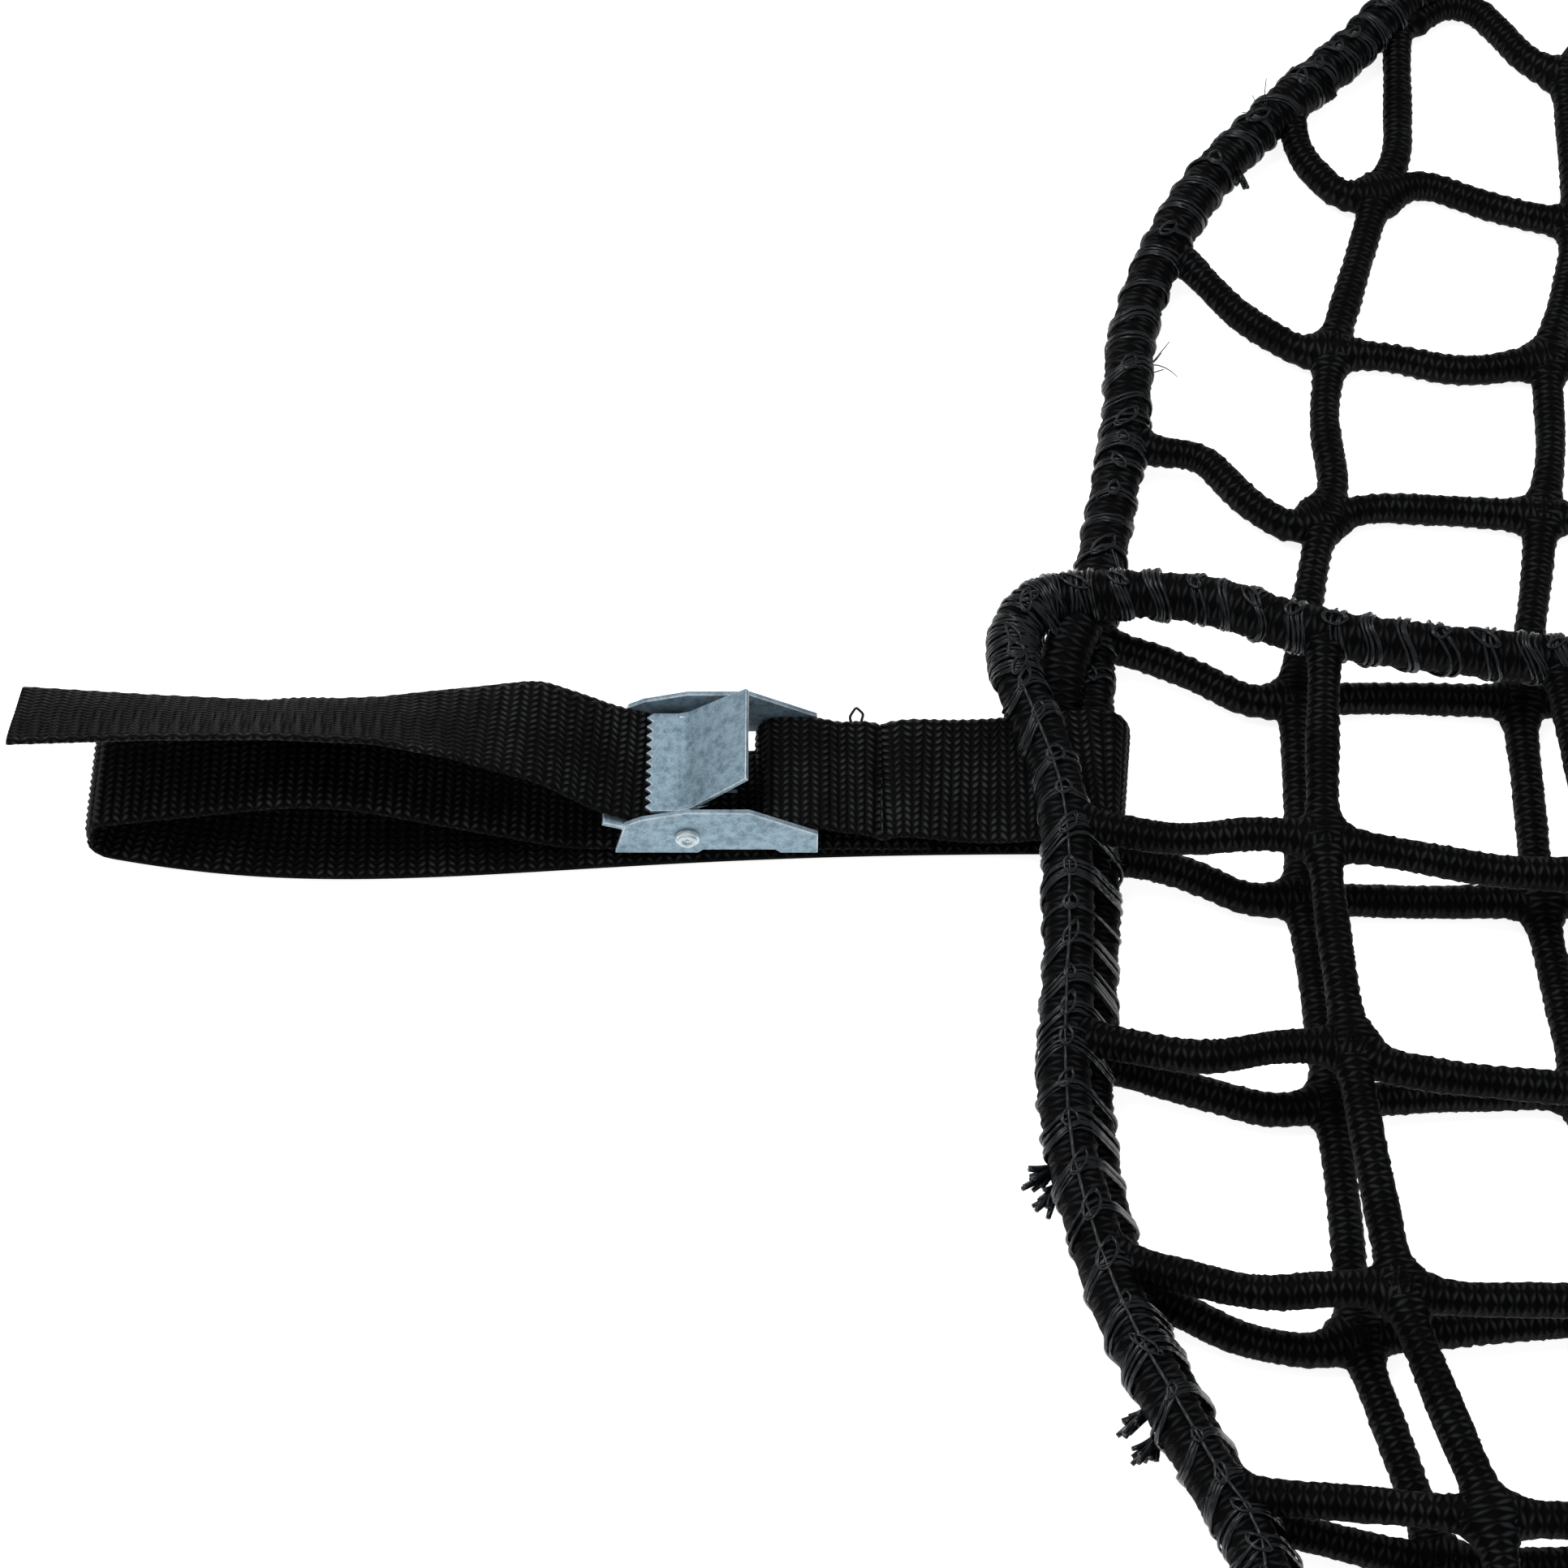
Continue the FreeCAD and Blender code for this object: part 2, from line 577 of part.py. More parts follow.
def cam_spring():
    """A torsion spring: its turns round the axle, and a leg at each end, one under the cam and one to the frame."""
    x, z = AXLE
    wire_r = SPRING_WIRE_D / 2
    turn_r = AXLE_D / 2 + 0.1 + wire_r
    pitch = SPRING_WIRE_D + 0.02
    solids = []
    for number in range(SPRING_TURNS):
        y = (number - (SPRING_TURNS - 1) / 2) * pitch
        solids.append(Part.makeTorus(turn_r, wire_r, V(x, y, z), V(0, 1, 0)))
    end = (SPRING_TURNS + 1) / 2 * pitch
    to_cam = V(-4.2, 0, CAM_UP - CAM_T / 2 - turn_r - 0.6)
    to_frame = V(9.0, 0, -0.9)
    solids.append(Part.makeCylinder(wire_r, to_cam.Length, V(x, end, z + turn_r), to_cam))
    solids.append(Part.makeCylinder(wire_r, to_frame.Length, V(x, -end, z - turn_r), to_frame))
    return solids


def stitching():
    """Short upright stitches through both layers of the sewn loop."""
    low = WEB_Z + LAYER - 0.9
    high = WEB_Z + 2 * LAYER + 1.6
    pitch = (WEB_W - 3) / (STITCHES - 1)
    first = -(WEB_W - 3) / 2
    return [
        Part.makeBox(2.2, 1.0, high - low, V(STITCH_X - 1.1, first + k * pitch - 0.5, low))
        for k in range(STITCHES)
    ]


def make_strap(name, x, y, turned):
    """One strap on the rope at (x, y); turned points it to +X."""
    place = FreeCAD.Placement(V(x, y, 0), FreeCAD.Rotation(V(0, 0, 1), 180 if turned else 0))
    pieces = {
        "webbing": [webbing()],
        "stitching": stitching(),
        "buckle_frame": [buckle_frame()],
        "cam_lever": [cam_lever()],
        "axle_rivet": [axle_rivet()],
        "cam_spring": cam_spring(),
    }
    for piece, solids in pieces.items():
        for solid in solids:
            solid.Placement = place.multiply(solid.Placement)
        nodes[name + "_" + piece] = solids


make_net()
far_left_x = at_y(LOWER_LEFT, FAR_STRAP_Y).x
make_strap("strap_near_left", LEFT_ROPE_X, STRAP_Y, False)
make_strap("strap_near_right", RIGHT_ROPE_X, STRAP_Y, True)
make_strap("strap_far_left", far_left_x, FAR_STRAP_Y, False)
make_strap("strap_far_right", RIGHT_ROPE_X, FAR_STRAP_Y, True)

everything = Part.makeCompound([s for solids in nodes.values() for s in solids])
box = everything.BoundBox
origin = V(-(box.XMin + box.XMax) / 2, -(box.YMin + box.YMax) / 2, 0)
print("origin moved by %.3f %.3f; size %.1f %.1f %.1f, lowest %.3f"
      % (origin.x, origin.y, box.XLength, box.YLength, box.ZLength, box.ZMin))

os.makedirs("parts", exist_ok=True)
for name, solids in nodes.items():
    moved = [s.translated(origin) for s in solids]
    for solid in moved:
        if len(solid.Solids) != 1 or not solid.isValid():
            raise ValueError("%s has a bad solid" % name)
    shape = moved[0] if len(moved) == 1 else Part.makeCompound(moved)
    shape.exportStep("parts/%s.step" % name)
    print("%-34s %3d solids %9.1f mm3" % (name, len(solids), sum(s.Volume for s in moved)))
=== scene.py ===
"""Cargo climbing net: braided cords, a lashed border rope and webbing straps with cam buckles."""
import math
import random

import bpy
import numpy as np
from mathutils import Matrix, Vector


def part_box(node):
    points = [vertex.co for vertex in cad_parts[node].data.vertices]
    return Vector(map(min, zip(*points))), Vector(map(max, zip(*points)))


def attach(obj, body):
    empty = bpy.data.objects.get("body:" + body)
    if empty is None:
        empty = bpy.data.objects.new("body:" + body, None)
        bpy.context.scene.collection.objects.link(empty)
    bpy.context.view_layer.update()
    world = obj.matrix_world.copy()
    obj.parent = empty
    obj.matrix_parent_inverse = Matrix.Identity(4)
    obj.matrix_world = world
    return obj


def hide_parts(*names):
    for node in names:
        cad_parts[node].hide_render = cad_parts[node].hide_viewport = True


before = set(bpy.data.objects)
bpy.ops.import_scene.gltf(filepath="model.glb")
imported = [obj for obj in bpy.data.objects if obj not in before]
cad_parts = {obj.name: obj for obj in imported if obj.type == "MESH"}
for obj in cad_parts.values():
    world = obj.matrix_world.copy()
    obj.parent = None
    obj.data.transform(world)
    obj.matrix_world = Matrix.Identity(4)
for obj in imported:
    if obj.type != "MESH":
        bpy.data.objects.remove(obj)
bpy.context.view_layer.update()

bl_info = {
    "name": "Cargo climbing net",
    "version": (1, 0, 0),
    "blender": (4, 5, 0),
    "location": "3D View > Sidebar > Cargo Net",
    "description": "Builds the cords, ropes, lashing, webbing and buckles of a folded cargo climbing net",
    "category": "Add Mesh",
}

MM = 0.001
UP = np.array((0.0, 0.0, 1.0))
STRAPS = ("near_left", "near_right", "far_left", "far_right")

# --------------------------------------------------------- the layout, in mm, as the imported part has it
MESH = 44.0
ROW_PITCH = 43.7
COLUMNS = 13
LOWER_ROWS = range(-4, 6)
UPPER_ROWS = range(-4, 1)
FIRST_ROW_Y = -27.0
FIRST_COLUMN_X = 95.0
LEFT_ROPE_X = 57.0
STRAP_Y = -4.0
UPPER_REST = 10.0
EDGE_RISE = 12.0
EDGE_REACH = 100.0
FAR_SWAY = 45.0
FOLD_SWAY = 16.0
UPPER_SHIFT = 5.0
ATTACH_GAP = 0.7
ROPE_GAP = 0.3
LAYER_GAP = 0.2

CORD_D = 6.0
ROPE_D = 9.0
WEB_W = 25.0
WEB_T = 1.5
CORD_R = CORD_D / 2
ROPE_R = ROPE_D / 2
WEB_Z = WEB_T / 2
LOOP_R = ROPE_R + ROPE_GAP + WEB_T / 2
ROPE_Z = LOOP_R + WEB_Z
LAYER = WEB_T + LAYER_GAP
FRAME_Z = WEB_Z + LAYER + WEB_T / 2 + LAYER_GAP
LOWER_Z = CORD_R
FOLD_Y = FIRST_ROW_Y - 4.46 * ROW_PITCH
FAR_Y = FIRST_ROW_Y + 6.22 * ROW_PITCH
FAR_STRAP_Y = FAR_Y - WEB_W / 2 - 12.3
RIGHT_ROPE_X = FIRST_COLUMN_X + (COLUMNS - 1) * MESH + 41
MIDDLE_X = (LEFT_ROPE_X + RIGHT_ROPE_X) / 2
UPPER_ROPE_Z = ROPE_Z + 0.922 * ROPE_D
ROPE_SIDE = 0.49 * ROPE_D
OVER_STRAP_Z = ROPE_Z + LOOP_R + WEB_T / 2 + 0.1 + ROPE_R
FOLD_TOP_Z = ROPE_Z + ROPE_D + 1.2

LOOP_OUTSIDE = LOOP_R + WEB_T / 2
low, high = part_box("strap_near_left_webbing")
ORIGIN = np.array((high[0] / MM - LOOP_OUTSIDE - LEFT_ROPE_X, (low[1] + high[1]) / 2 / MM - STRAP_Y, 0.0))

LOWER_LEFT = [
    (78, FOLD_Y, ROPE_Z), (78, -205, ROPE_Z), (82, -180, ROPE_Z), (80, -160, ROPE_Z), (71, -143, ROPE_Z),
    (60, -118, ROPE_Z), (52, -82, ROPE_Z), (55, -48, ROPE_Z), (57, -20, ROPE_Z), (57, 12, ROPE_Z),
    (58.5, 34, ROPE_Z), (62.5, 56, ROPE_Z), (67.4, 80, ROPE_Z), (69, 104, ROPE_Z), (76, 126, ROPE_Z),
    (87, 148, ROPE_Z), (104, 168, ROPE_Z), (122, 187, ROPE_Z), (135, FAR_STRAP_Y - 16, ROPE_Z),
    (137, FAR_STRAP_Y + 2, ROPE_Z), (137, FAR_STRAP_Y + 16, ROPE_Z),
]
UPPER_LEFT = [
    (78, FOLD_Y, FOLD_TOP_Z), (78, -205, FOLD_TOP_Z), (79, -180, FOLD_TOP_Z - 0.6),
    (76, -160, UPPER_ROPE_Z + 0.4), (67, -143, UPPER_ROPE_Z), (56, -118, UPPER_ROPE_Z),
    (52 - ROPE_SIDE, -82, UPPER_ROPE_Z), (55 - ROPE_SIDE, -48, UPPER_ROPE_Z + 0.4),
    (51, -22, OVER_STRAP_Z), (49.5, -9, OVER_STRAP_Z), (43.5, 10, OVER_STRAP_Z),
]
NEAR_LEFT = [
    (43.5, 10, OVER_STRAP_Z), (42, 20, OVER_STRAP_Z), (47, 30, OVER_STRAP_Z), (62, 31.5, OVER_STRAP_Z + 0.3),
    (79, 29, OVER_STRAP_Z + 2), (97, 20, OVER_STRAP_Z + 3.4), (124, 17, OVER_STRAP_Z + 1.5),
    (160, 16.5, 14), (230, 17, UPPER_REST + 1.2),
]
# the spare end of the near rope, tucked into the bend of the corner
TUCKED_END = [(52, 3, 7.5), (51.3, 9, 8), (51.5, 15, 10.5), (52.8, 21, 13), (55.5, 27, 14.5)]
LOWER_RIGHT = [
    (RIGHT_ROPE_X, FAR_Y - 13, ROPE_Z), (RIGHT_ROPE_X + 1.5, 120, ROPE_Z), (RIGHT_ROPE_X, 20, ROPE_Z),
    (RIGHT_ROPE_X, -22, ROPE_Z), (RIGHT_ROPE_X - 1.5, -110, ROPE_Z), (RIGHT_ROPE_X, FOLD_Y + 20, ROPE_Z),
    (RIGHT_ROPE_X, FOLD_Y, ROPE_Z),
]
UPPER_RIGHT = [
    (RIGHT_ROPE_X + 8, 10, OVER_STRAP_Z), (RIGHT_ROPE_X + 7.8, -22, OVER_STRAP_Z),
    (RIGHT_ROPE_X + 4.4, -48, UPPER_ROPE_Z + 0.4), (RIGHT_ROPE_X + 2.9, -110, UPPER_ROPE_Z),
    (RIGHT_ROPE_X + 3, -170, UPPER_ROPE_Z + 0.6), (RIGHT_ROPE_X, FOLD_Y + 20, FOLD_TOP_Z),
    (RIGHT_ROPE_X, FOLD_Y, FOLD_TOP_Z),
]
FAR_ROUTE = [
    (137, FAR_STRAP_Y + 16, ROPE_Z), (139, FAR_Y - 4, ROPE_Z), (153, FAR_Y, ROPE_Z), (220, FAR_Y + 2, ROPE_Z),
    (MIDDLE_X, FAR_Y, ROPE_Z), (RIGHT_ROPE_X - 110, FAR_Y + 1.5, ROPE_Z),
    (RIGHT_ROPE_X - 14, FAR_Y, ROPE_Z), (RIGHT_ROPE_X - 1, FAR_Y - 3, ROPE_Z),
    (RIGHT_ROPE_X, FAR_Y - 13, ROPE_Z),
]
NEAR_RIGHT = [(2 * MIDDLE_X - x, y, z) for x, y, z in reversed(NEAR_LEFT)]
NEAR_ROUTE = NEAR_LEFT + [(MIDDLE_X, 16, UPPER_REST + 1)] + NEAR_RIGHT

# where the crossings nearest the near left corner lie: (layer, column, row): (x, y)
LAID_CROSSINGS = {
    (0, 0, 5): (131.2, 198.8), (0, 0, 4): (122.7, 146.1), (0, 0, 3): (109.8, 103.5), (0, 0, 2): (104.9, 60.8),
    (0, 0, 1): (96.2, 17.3), (0, 0, 0): (94.5, -27.5), (0, 0, -1): (96.4, -70.5), (0, 0, -2): (96.9, -116.8),
    (0, 1, 5): (165.3, 180.1), (0, 1, 4): (163.4, 138.1), (0, 1, 3): (152.8, 101.4), (0, 1, 2): (147.6, 61.3),
    (0, 1, 1): (138.3, 16.8), (0, 1, 0): (137.4, -28.1),
    (0, 1, -1): (140.5, -68.6), (0, 1, -2): (142.5, -112.3),
    (1, 0, 0): (96.3, -26.5), (1, 0, -1): (97.9, -69.7), (1, 0, -2): (102.0, -116.6),
    (1, 0, -3): (113.6, -157.7), (1, 1, 0): (147.0, -31.5), (1, 1, -1): (149.0, -77.0),
    (1, 1, -2): (151.5, -117.5),
}
# how slack rows run on their way to a crossing: (layer, row, column of that crossing): (x, y) of each bend
SLACK_RUNS = {
    (0, 5, 1): (
        (134.5, 196.8), (138.6, 200.7), (143.7, 202.2), (148.7, 200.3), (153.2, 193.4), (157.6, 185.4)),
    (0, 4, 0): ((106.1, 169.1), (106.9, 156.1), (114.7, 145.7)),
    (0, 4, 1): ((132, 150.2), (148, 142.2)),
    (0, 3, 0): ((81.5, 125.7), (92.2, 111.3), (103.2, 103.6)),
    (0, 3, 1): ((121.2, 102.5), (135.4, 98.2)),
    (0, 2, 0): ((73.1, 75.5), (81.9, 75.1), (90.7, 63.5), (98.3, 58.1)),
    (0, 2, 1): ((114.7, 63.8), (132, 62.8)),
    (0, 1, 0): ((74.2, 23.7), (87.6, 16)),
    (0, 1, 1): ((113.9, 17.7),),
    (0, 0, 0): ((71.7, -22.4), (84.7, -28.8)),
    (0, 0, 1): ((115, -28.5),),
    (0, -1, 0): ((73.3, -69.6), (86, -73.1)),
    (0, -2, 0): ((77.3, -118.1), (89.6, -119.8)),
    (1, 0, 0): ((70.6, -25.6), (85.1, -24.3)),
    (1, 0, 1): ((113.8, -29.3), (127, -31.6)),
    (1, -1, 0): ((72.3, -70.6), (86.3, -68.5)),
    (1, -1, 1): ((104.1, -73.4), (115.2, -75.1), (128, -75.8)),
    (1, -2, 0): ((79, -116.3), (92.4, -115.8)),
    (1, -2, 1): ((112.4, -118.1), (130.3, -117.4)),
}
# the same for columns: (layer, column, row that the run starts from)
COLUMN_RUNS = {
    (0, 0, 2): ((107.9, 68.9), (106.8, 85.5)),
    (0, 0, 4): ((127.9, 157.1), (129.6, 177.0)),
    (0, 1, 2): ((151.3, 77.2),),
}


def sway(y):
    """How far the first column leans to the right of its straight place."""
    if y > -10:
        return FAR_SWAY * ((y + 10) / 199) ** 1.6
    if y < -60:
        return FOLD_SWAY * math.sin(math.pi * (-60 - y) / 300) ** 2
    return 0.0


def column_x(number, y, shift=0.0):
    return FIRST_COLUMN_X + number * MESH + (sway(y) + shift) * (1 - number / (COLUMNS - 1))


def row_y(number):
    return FIRST_ROW_Y + number * ROW_PITCH


def upper_z(x):
    """Height of the upper layer, which the border ropes hold up at both sides."""
    beside = min(x - LEFT_ROPE_X, RIGHT_ROPE_X - x)
    return UPPER_REST + EDGE_RISE * math.exp(-((beside / EDGE_REACH) ** 2))


def place_at(points, axis, value):
    """The place on a route where its coordinate on that axis passes value."""
    for a, b in zip(points, points[1:]):
        if min(a[axis], b[axis]) <= value <= max(a[axis], b[axis]):
            share = (value - a[axis]) / (b[axis] - a[axis])
            return tuple(p + (q - p) * share for p, q in zip(a, b))
    return min(points, key=lambda p: abs(p[axis] - value))


def off_straps(y, row):
    """Y moved clear of the straps, to the side that the row at y = row is on."""
    clear = WEB_W / 2 + CORD_R + ATTACH_GAP
    for strap in (STRAP_Y, FAR_STRAP_Y):
        y = min(y, strap - clear) if row < strap else max(y, strap + clear)
    return y


def attach_y(y):
    """Where a row cord meets the left border rope."""
    return off_straps(y + 7 + 0.12 * max(y - FIRST_ROW_Y, 0), y)


# ------------------------------------------------------------------ curves, frames and swept shells
def rounded(points, share=0.45, spacing=0.25):
    """Close points along straight runs and the arcs between them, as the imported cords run."""
    points = [np.array(p, float) for p in points]
    out = [points[0]]
    here = points[0]
    for before, at, after in zip(points, points[1:], points[2:]):
        run_in, run_out = at - before, after - at
        long_in, long_out = np.linalg.norm(run_in), np.linalg.norm(run_out)
        run_in, run_out = run_in / long_in, run_out / long_out
        turn = math.acos(max(-1, min(1, float(run_in @ run_out))))
        if turn < 0.002:
            continue
        back = share * min(long_in, long_out)
        out += arc_points(out[-1], at, run_in, run_out, turn, back, spacing)
        here = out[-1]
    out += line_points(here, points[-1], spacing)
    return np.array(out)


def line_points(a, b, spacing):
    count = max(1, int(np.linalg.norm(b - a) / spacing))
    return [a + (b - a) * k / count for k in range(1, count + 1)]


def arc_points(here, at, run_in, run_out, turn, back, spacing):
    """A straight run from here to the arc's start, and the arc that is tangent to both runs."""
    start = at - run_in * back
    radius = back / math.tan(turn / 2)
    inward = (run_out - run_in) / np.linalg.norm(run_out - run_in)
    centre = at + inward * radius / math.cos(turn / 2)
    spoke = start - centre
    count = max(2, int(radius * turn / spacing))
    arc = []
    for k in range(1, count + 1):
        angle = turn * k / count
        arc.append(centre + spoke * math.cos(angle) + run_in * radius * math.sin(angle))
    return line_points(here, start, spacing) + arc


def lengths(path):
    """Distance along a path at each of its points."""
    return np.concatenate([[0.0], np.cumsum(np.linalg.norm(np.diff(path, axis=0), axis=1))])


def stations(path, step_at):
    """(points, distances) along a path, with the spacing that step_at gives for each point."""
    along = lengths(path)
    density = 1 / step_at(path, along)
    rings = np.concatenate([[0.0], np.cumsum((density[1:] + density[:-1]) / 2 * np.diff(along))])
    count = max(3, int(round(rings[-1])))
    where = np.interp(np.linspace(0, rings[-1], count + 1), rings, along)
    return np.stack([np.interp(where, along, path[:, k]) for k in range(3)], axis=1), where


def unit(vectors):
    return vectors / np.maximum(np.linalg.norm(vectors, axis=-1, keepdims=True), 1e-9)


def axes_along(path, side=None):
    """(side, up) at each point of a path. side is level unless it is given."""
    ahead = unit(np.gradient(path, axis=0))
    side = np.cross(UP, ahead) if side is None else np.broadcast_to(np.asarray(side, float), path.shape)
    side = unit(side - (side * ahead).sum(1, keepdims=True) * ahead)
    return side, np.cross(ahead, side)


class Shell:
    """Collects swept closed shells for one mesh. Everything is in layout mm until it is built."""

    def __init__(self):
        self.verts, self.faces, self.uvs, self.count = [], [], [], 0

    def sweep(self, path, axes, profile, around, along):
        """A closed skin: profile (rings, corners, 2) is laid out on axes (side, up) along path."""
        side, up = axes
        rings, corners = profile.shape[:2]
        verts = path[:, None] + profile[..., :1] * side[:, None] + profile[..., 1:] * up[:, None]
        ring = np.arange(rings - 1)[:, None] * corners
        a = np.arange(corners)[None, :]
        b = (a + 1) % corners
        quads = np.stack([ring + a, ring + b, ring + corners + b, ring + corners + a], axis=-1)
        u = np.linspace(0, around, corners + 1) if np.isscalar(around) else np.asarray(around)
        u0, u1 = np.broadcast_to(u[:-1], (rings - 1, corners)), np.broadcast_to(u[1:], (rings - 1, corners))
        v0 = np.broadcast_to(along[:-1, None], (rings - 1, corners))
        v1 = np.broadcast_to(along[1:, None], (rings - 1, corners))
        uv = np.stack([u0, v0, u1, v0, u1, v1, u0, v1], axis=-1).reshape(-1, 2)
        first, last = self.count, self.count + (rings - 1) * corners
        low_pole = self.count + rings * corners
        a, b = np.arange(corners), (np.arange(corners) + 1) % corners
        caps = [np.stack([np.full(corners, low_pole), first + b, first + a], axis=-1)]
        caps.append(np.stack([np.full(corners, low_pole + 1), last + a, last + b], axis=-1))
        flat = verts.reshape(-1, 3)
        self.verts += [flat, verts[0].mean(0)[None], verts[-1].mean(0)[None]]
        self.faces += (quads.reshape(-1, 4) + self.count).tolist()
        for cap, v in zip(caps, (along[0], along[-1])):
            self.faces += cap.tolist()
            spread = np.stack([(u[:-1] + u[1:]) / 2, np.full(corners, v), u[:-1], np.full(corners, v), u[1:],
                               np.full(corners, v)], axis=-1)
            uv = np.concatenate([uv, spread.reshape(-1, 2)])
        self.uvs.append(uv)
        self.count += rings * corners + 2

    def build(self, name, material, body="net", nodes=()):
        """Makes the object, in its place, hangs it on its body and hides the imported parts that it stands
        for.
        """
        mesh = bpy.data.meshes.new(name)
        verts = (np.concatenate(self.verts) + ORIGIN) * MM
        mesh.from_pydata(verts.tolist(), [], self.faces)
        mesh.uv_layers.new(name="weave").uv.foreach_set("vector", np.concatenate(self.uvs).ravel())
        mesh.polygons.foreach_set("use_smooth", [True] * len(mesh.polygons))
        mesh.materials.append(material)
        mesh.validate()
        piece = bpy.data.objects.new(name, mesh)
        bpy.context.scene.collection.objects.link(piece)
        return finish_piece(piece, body, nodes)


def finish_piece(piece, body="net", nodes=()):
    if not len(piece.data.polygons):
        raise RuntimeError(piece.name + " has no faces")
    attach(piece, body)
    if nodes:
        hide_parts(*nodes)
    return piece


def circle(rings, corners, wide, tall):
    """Round or oval rings. wide and tall are half sizes, one number or one for each ring."""
    turn = np.linspace(0, 2 * math.pi, corners, endpoint=False)
    wide = np.broadcast_to(wide, (rings,))[:, None] * np.cos(turn)
    tall = np.broadcast_to(tall, (rings,))[:, None] * np.sin(turn)
    return np.stack([wide, tall], axis=-1)


# ------------------------------------------------------------------ braided cords
# the part of the net round the near left corner, which is made fine enough to be seen close up
CLOSE_HALF_WIDTH = 160.0
CLOSE_WIDENING = 0.115
CLOSE_LOW_Y, CLOSE_HIGH_Y = -172.0, 224.0
CLOSE_FADE = 6.0
BRAID_CELL = 2.6
AROUND_CELLS = 8
BRAID_FUZZ = 0.022
KNOT_REACH = 4.0
KNOT_FLARE = 0.95
KNOT_RISE = 0.28


def in_close_view(path):
    """1 where the near left corner of the net lies, which is seen close up, and 0 elsewhere."""
    x, y = path[:, 0], path[:, 1]
    sideways = CLOSE_HALF_WIDTH + CLOSE_WIDENING * y - np.abs(x)
    inside = np.minimum(sideways, np.minimum(y - CLOSE_LOW_Y, CLOSE_HIGH_Y - y))
    return np.clip(inside / CLOSE_FADE + 0.5, 0, 1)


def cord_step(fine, coarse):
    return lambda path, along: coarse + (fine - coarse) * in_close_view(path)


def wander(where, phase, *waves):
    """Slow changes along a cord: a sum of waves (depth, mm to a radian, share of the phase)."""
    return sum(depth * np.sin(where / length + share * phase) for depth, length, share in waves)


def braid(shell, route, radius, knots=(), fine=0.52, coarse=2.2, corners=16, relief=0.055, seed=0, side=None):
    """One braided cord. It spreads sideways at its knots, where its strands pass through another cord."""
    chance = random.Random(seed)
    path, where = stations(np.asarray(route), cord_step(fine, coarse))
    close = in_close_view(path)
    turn = np.linspace(0, 2 * math.pi, corners, endpoint=False)
    phase = chance.uniform(0, 6.28)
    beat = 2 * math.pi * where / BRAID_CELL + wander(where, phase, (0.5, 5.7, 1), (0.35, 2.9, 2.3))
    lean = wander(where, phase, (0.6, 9.1, 1))
    waves = np.cos(AROUND_CELLS / 2 * turn[None, :] + lean[:, None]) * np.cos(beat[:, None])
    drift = wander(where, phase, (0.025, 7.3, 1), (0.02, 3.1, 2))
    fuzz = np.random.default_rng(seed).normal(0, BRAID_FUZZ, waves.shape) * close[:, None]
    size = radius * (1 + relief * close[:, None] * waves + drift[:, None] + fuzz)
    spread = np.zeros(len(path))
    for knot in knots:
        gap = np.linalg.norm(path[:, :2] - np.asarray(knot)[:2], axis=1)
        spread = np.maximum(spread, np.exp(-((gap / KNOT_REACH) ** 2)))
    wide = 1 + KNOT_FLARE * spread
    tall = 1 + KNOT_RISE * spread
    profile = np.stack([size * np.cos(turn) * wide[:, None], size * np.sin(turn) * tall[:, None]], axis=-1)
    shell.sweep(path, axes_along(path, side), profile, AROUND_CELLS, where / BRAID_CELL * 2)


def knot_place(layer, column, row):
    """Where a column and a row cross. Hand tension leaves each crossing a little off its straight place."""
    chance = random.Random(9176 * layer + 131 * column + 17 * (row + 10))
    x_off, y_off = chance.uniform(-0.9, 0.9), chance.uniform(-0.8, 0.8)
    y = row_y(row)
    z = upper_z(column_x(column, 0)) if layer else LOWER_Z
    if (layer, column, row) in LAID_CROSSINGS:
        return LAID_CROSSINGS[layer, column, row] + (z,)
    return (column_x(column, y, UPPER_SHIFT if layer else 0.0) + x_off, y + y_off, z)


def slack(points, seed, bends=None, most=0.8):
    """The points with bends between them: those given for that run, or one a little off the straight line."""
    chance = random.Random(seed)
    out = [points[0]]
    for number, (a, b) in enumerate(zip(points, points[1:])):
        a, b = np.array(a, float), np.array(b, float)
        run = b - a
        sideways = np.array((-run[1], run[0], 0.0)) / max(1e-6, math.hypot(run[0], run[1]))
        between = [tuple((a + b)[:2] / 2 + sideways[:2] * chance.uniform(-most, most))]
        for place in (bends or {}).get(number, between):
            share = np.linalg.norm(np.array(place) - a[:2])
            share /= share + np.linalg.norm(np.array(place) - b[:2])
            out.append(tuple(place) + (a[2] + run[2] * share,))
        out.append(tuple(b))
    return out


def row_route(layer, row):
    """(points, knots) of a row cord, from the left border rope to the right one."""
    y = row_y(row)
    knots = [knot_place(layer, i, row) for i in range(COLUMNS)]
    left, right = (UPPER_LEFT, UPPER_RIGHT) if layer else (LOWER_LEFT, LOWER_RIGHT)
    points = [place_at(left, 1, attach_y(y))] + knots + [place_at(right, 1, off_straps(y + 2, y))]
    return points, knots


def column_route(layer, column):
    """(points, knots) of a column cord, from the fold to the far or the near border rope."""
    rows = UPPER_ROWS if layer else LOWER_ROWS
    knots = [knot_place(layer, column, j) for j in rows]
    if layer:
        z = upper_z(column_x(column, 0))
        end = place_at(NEAR_ROUTE, 0, column_x(column, 0, UPPER_SHIFT))
    else:
        z = LOWER_Z
        end = place_at(FAR_ROUTE, 0, column_x(column, FAR_Y))
    return [(column_x(column, FOLD_Y), FOLD_Y, z)] + knots + [end], knots


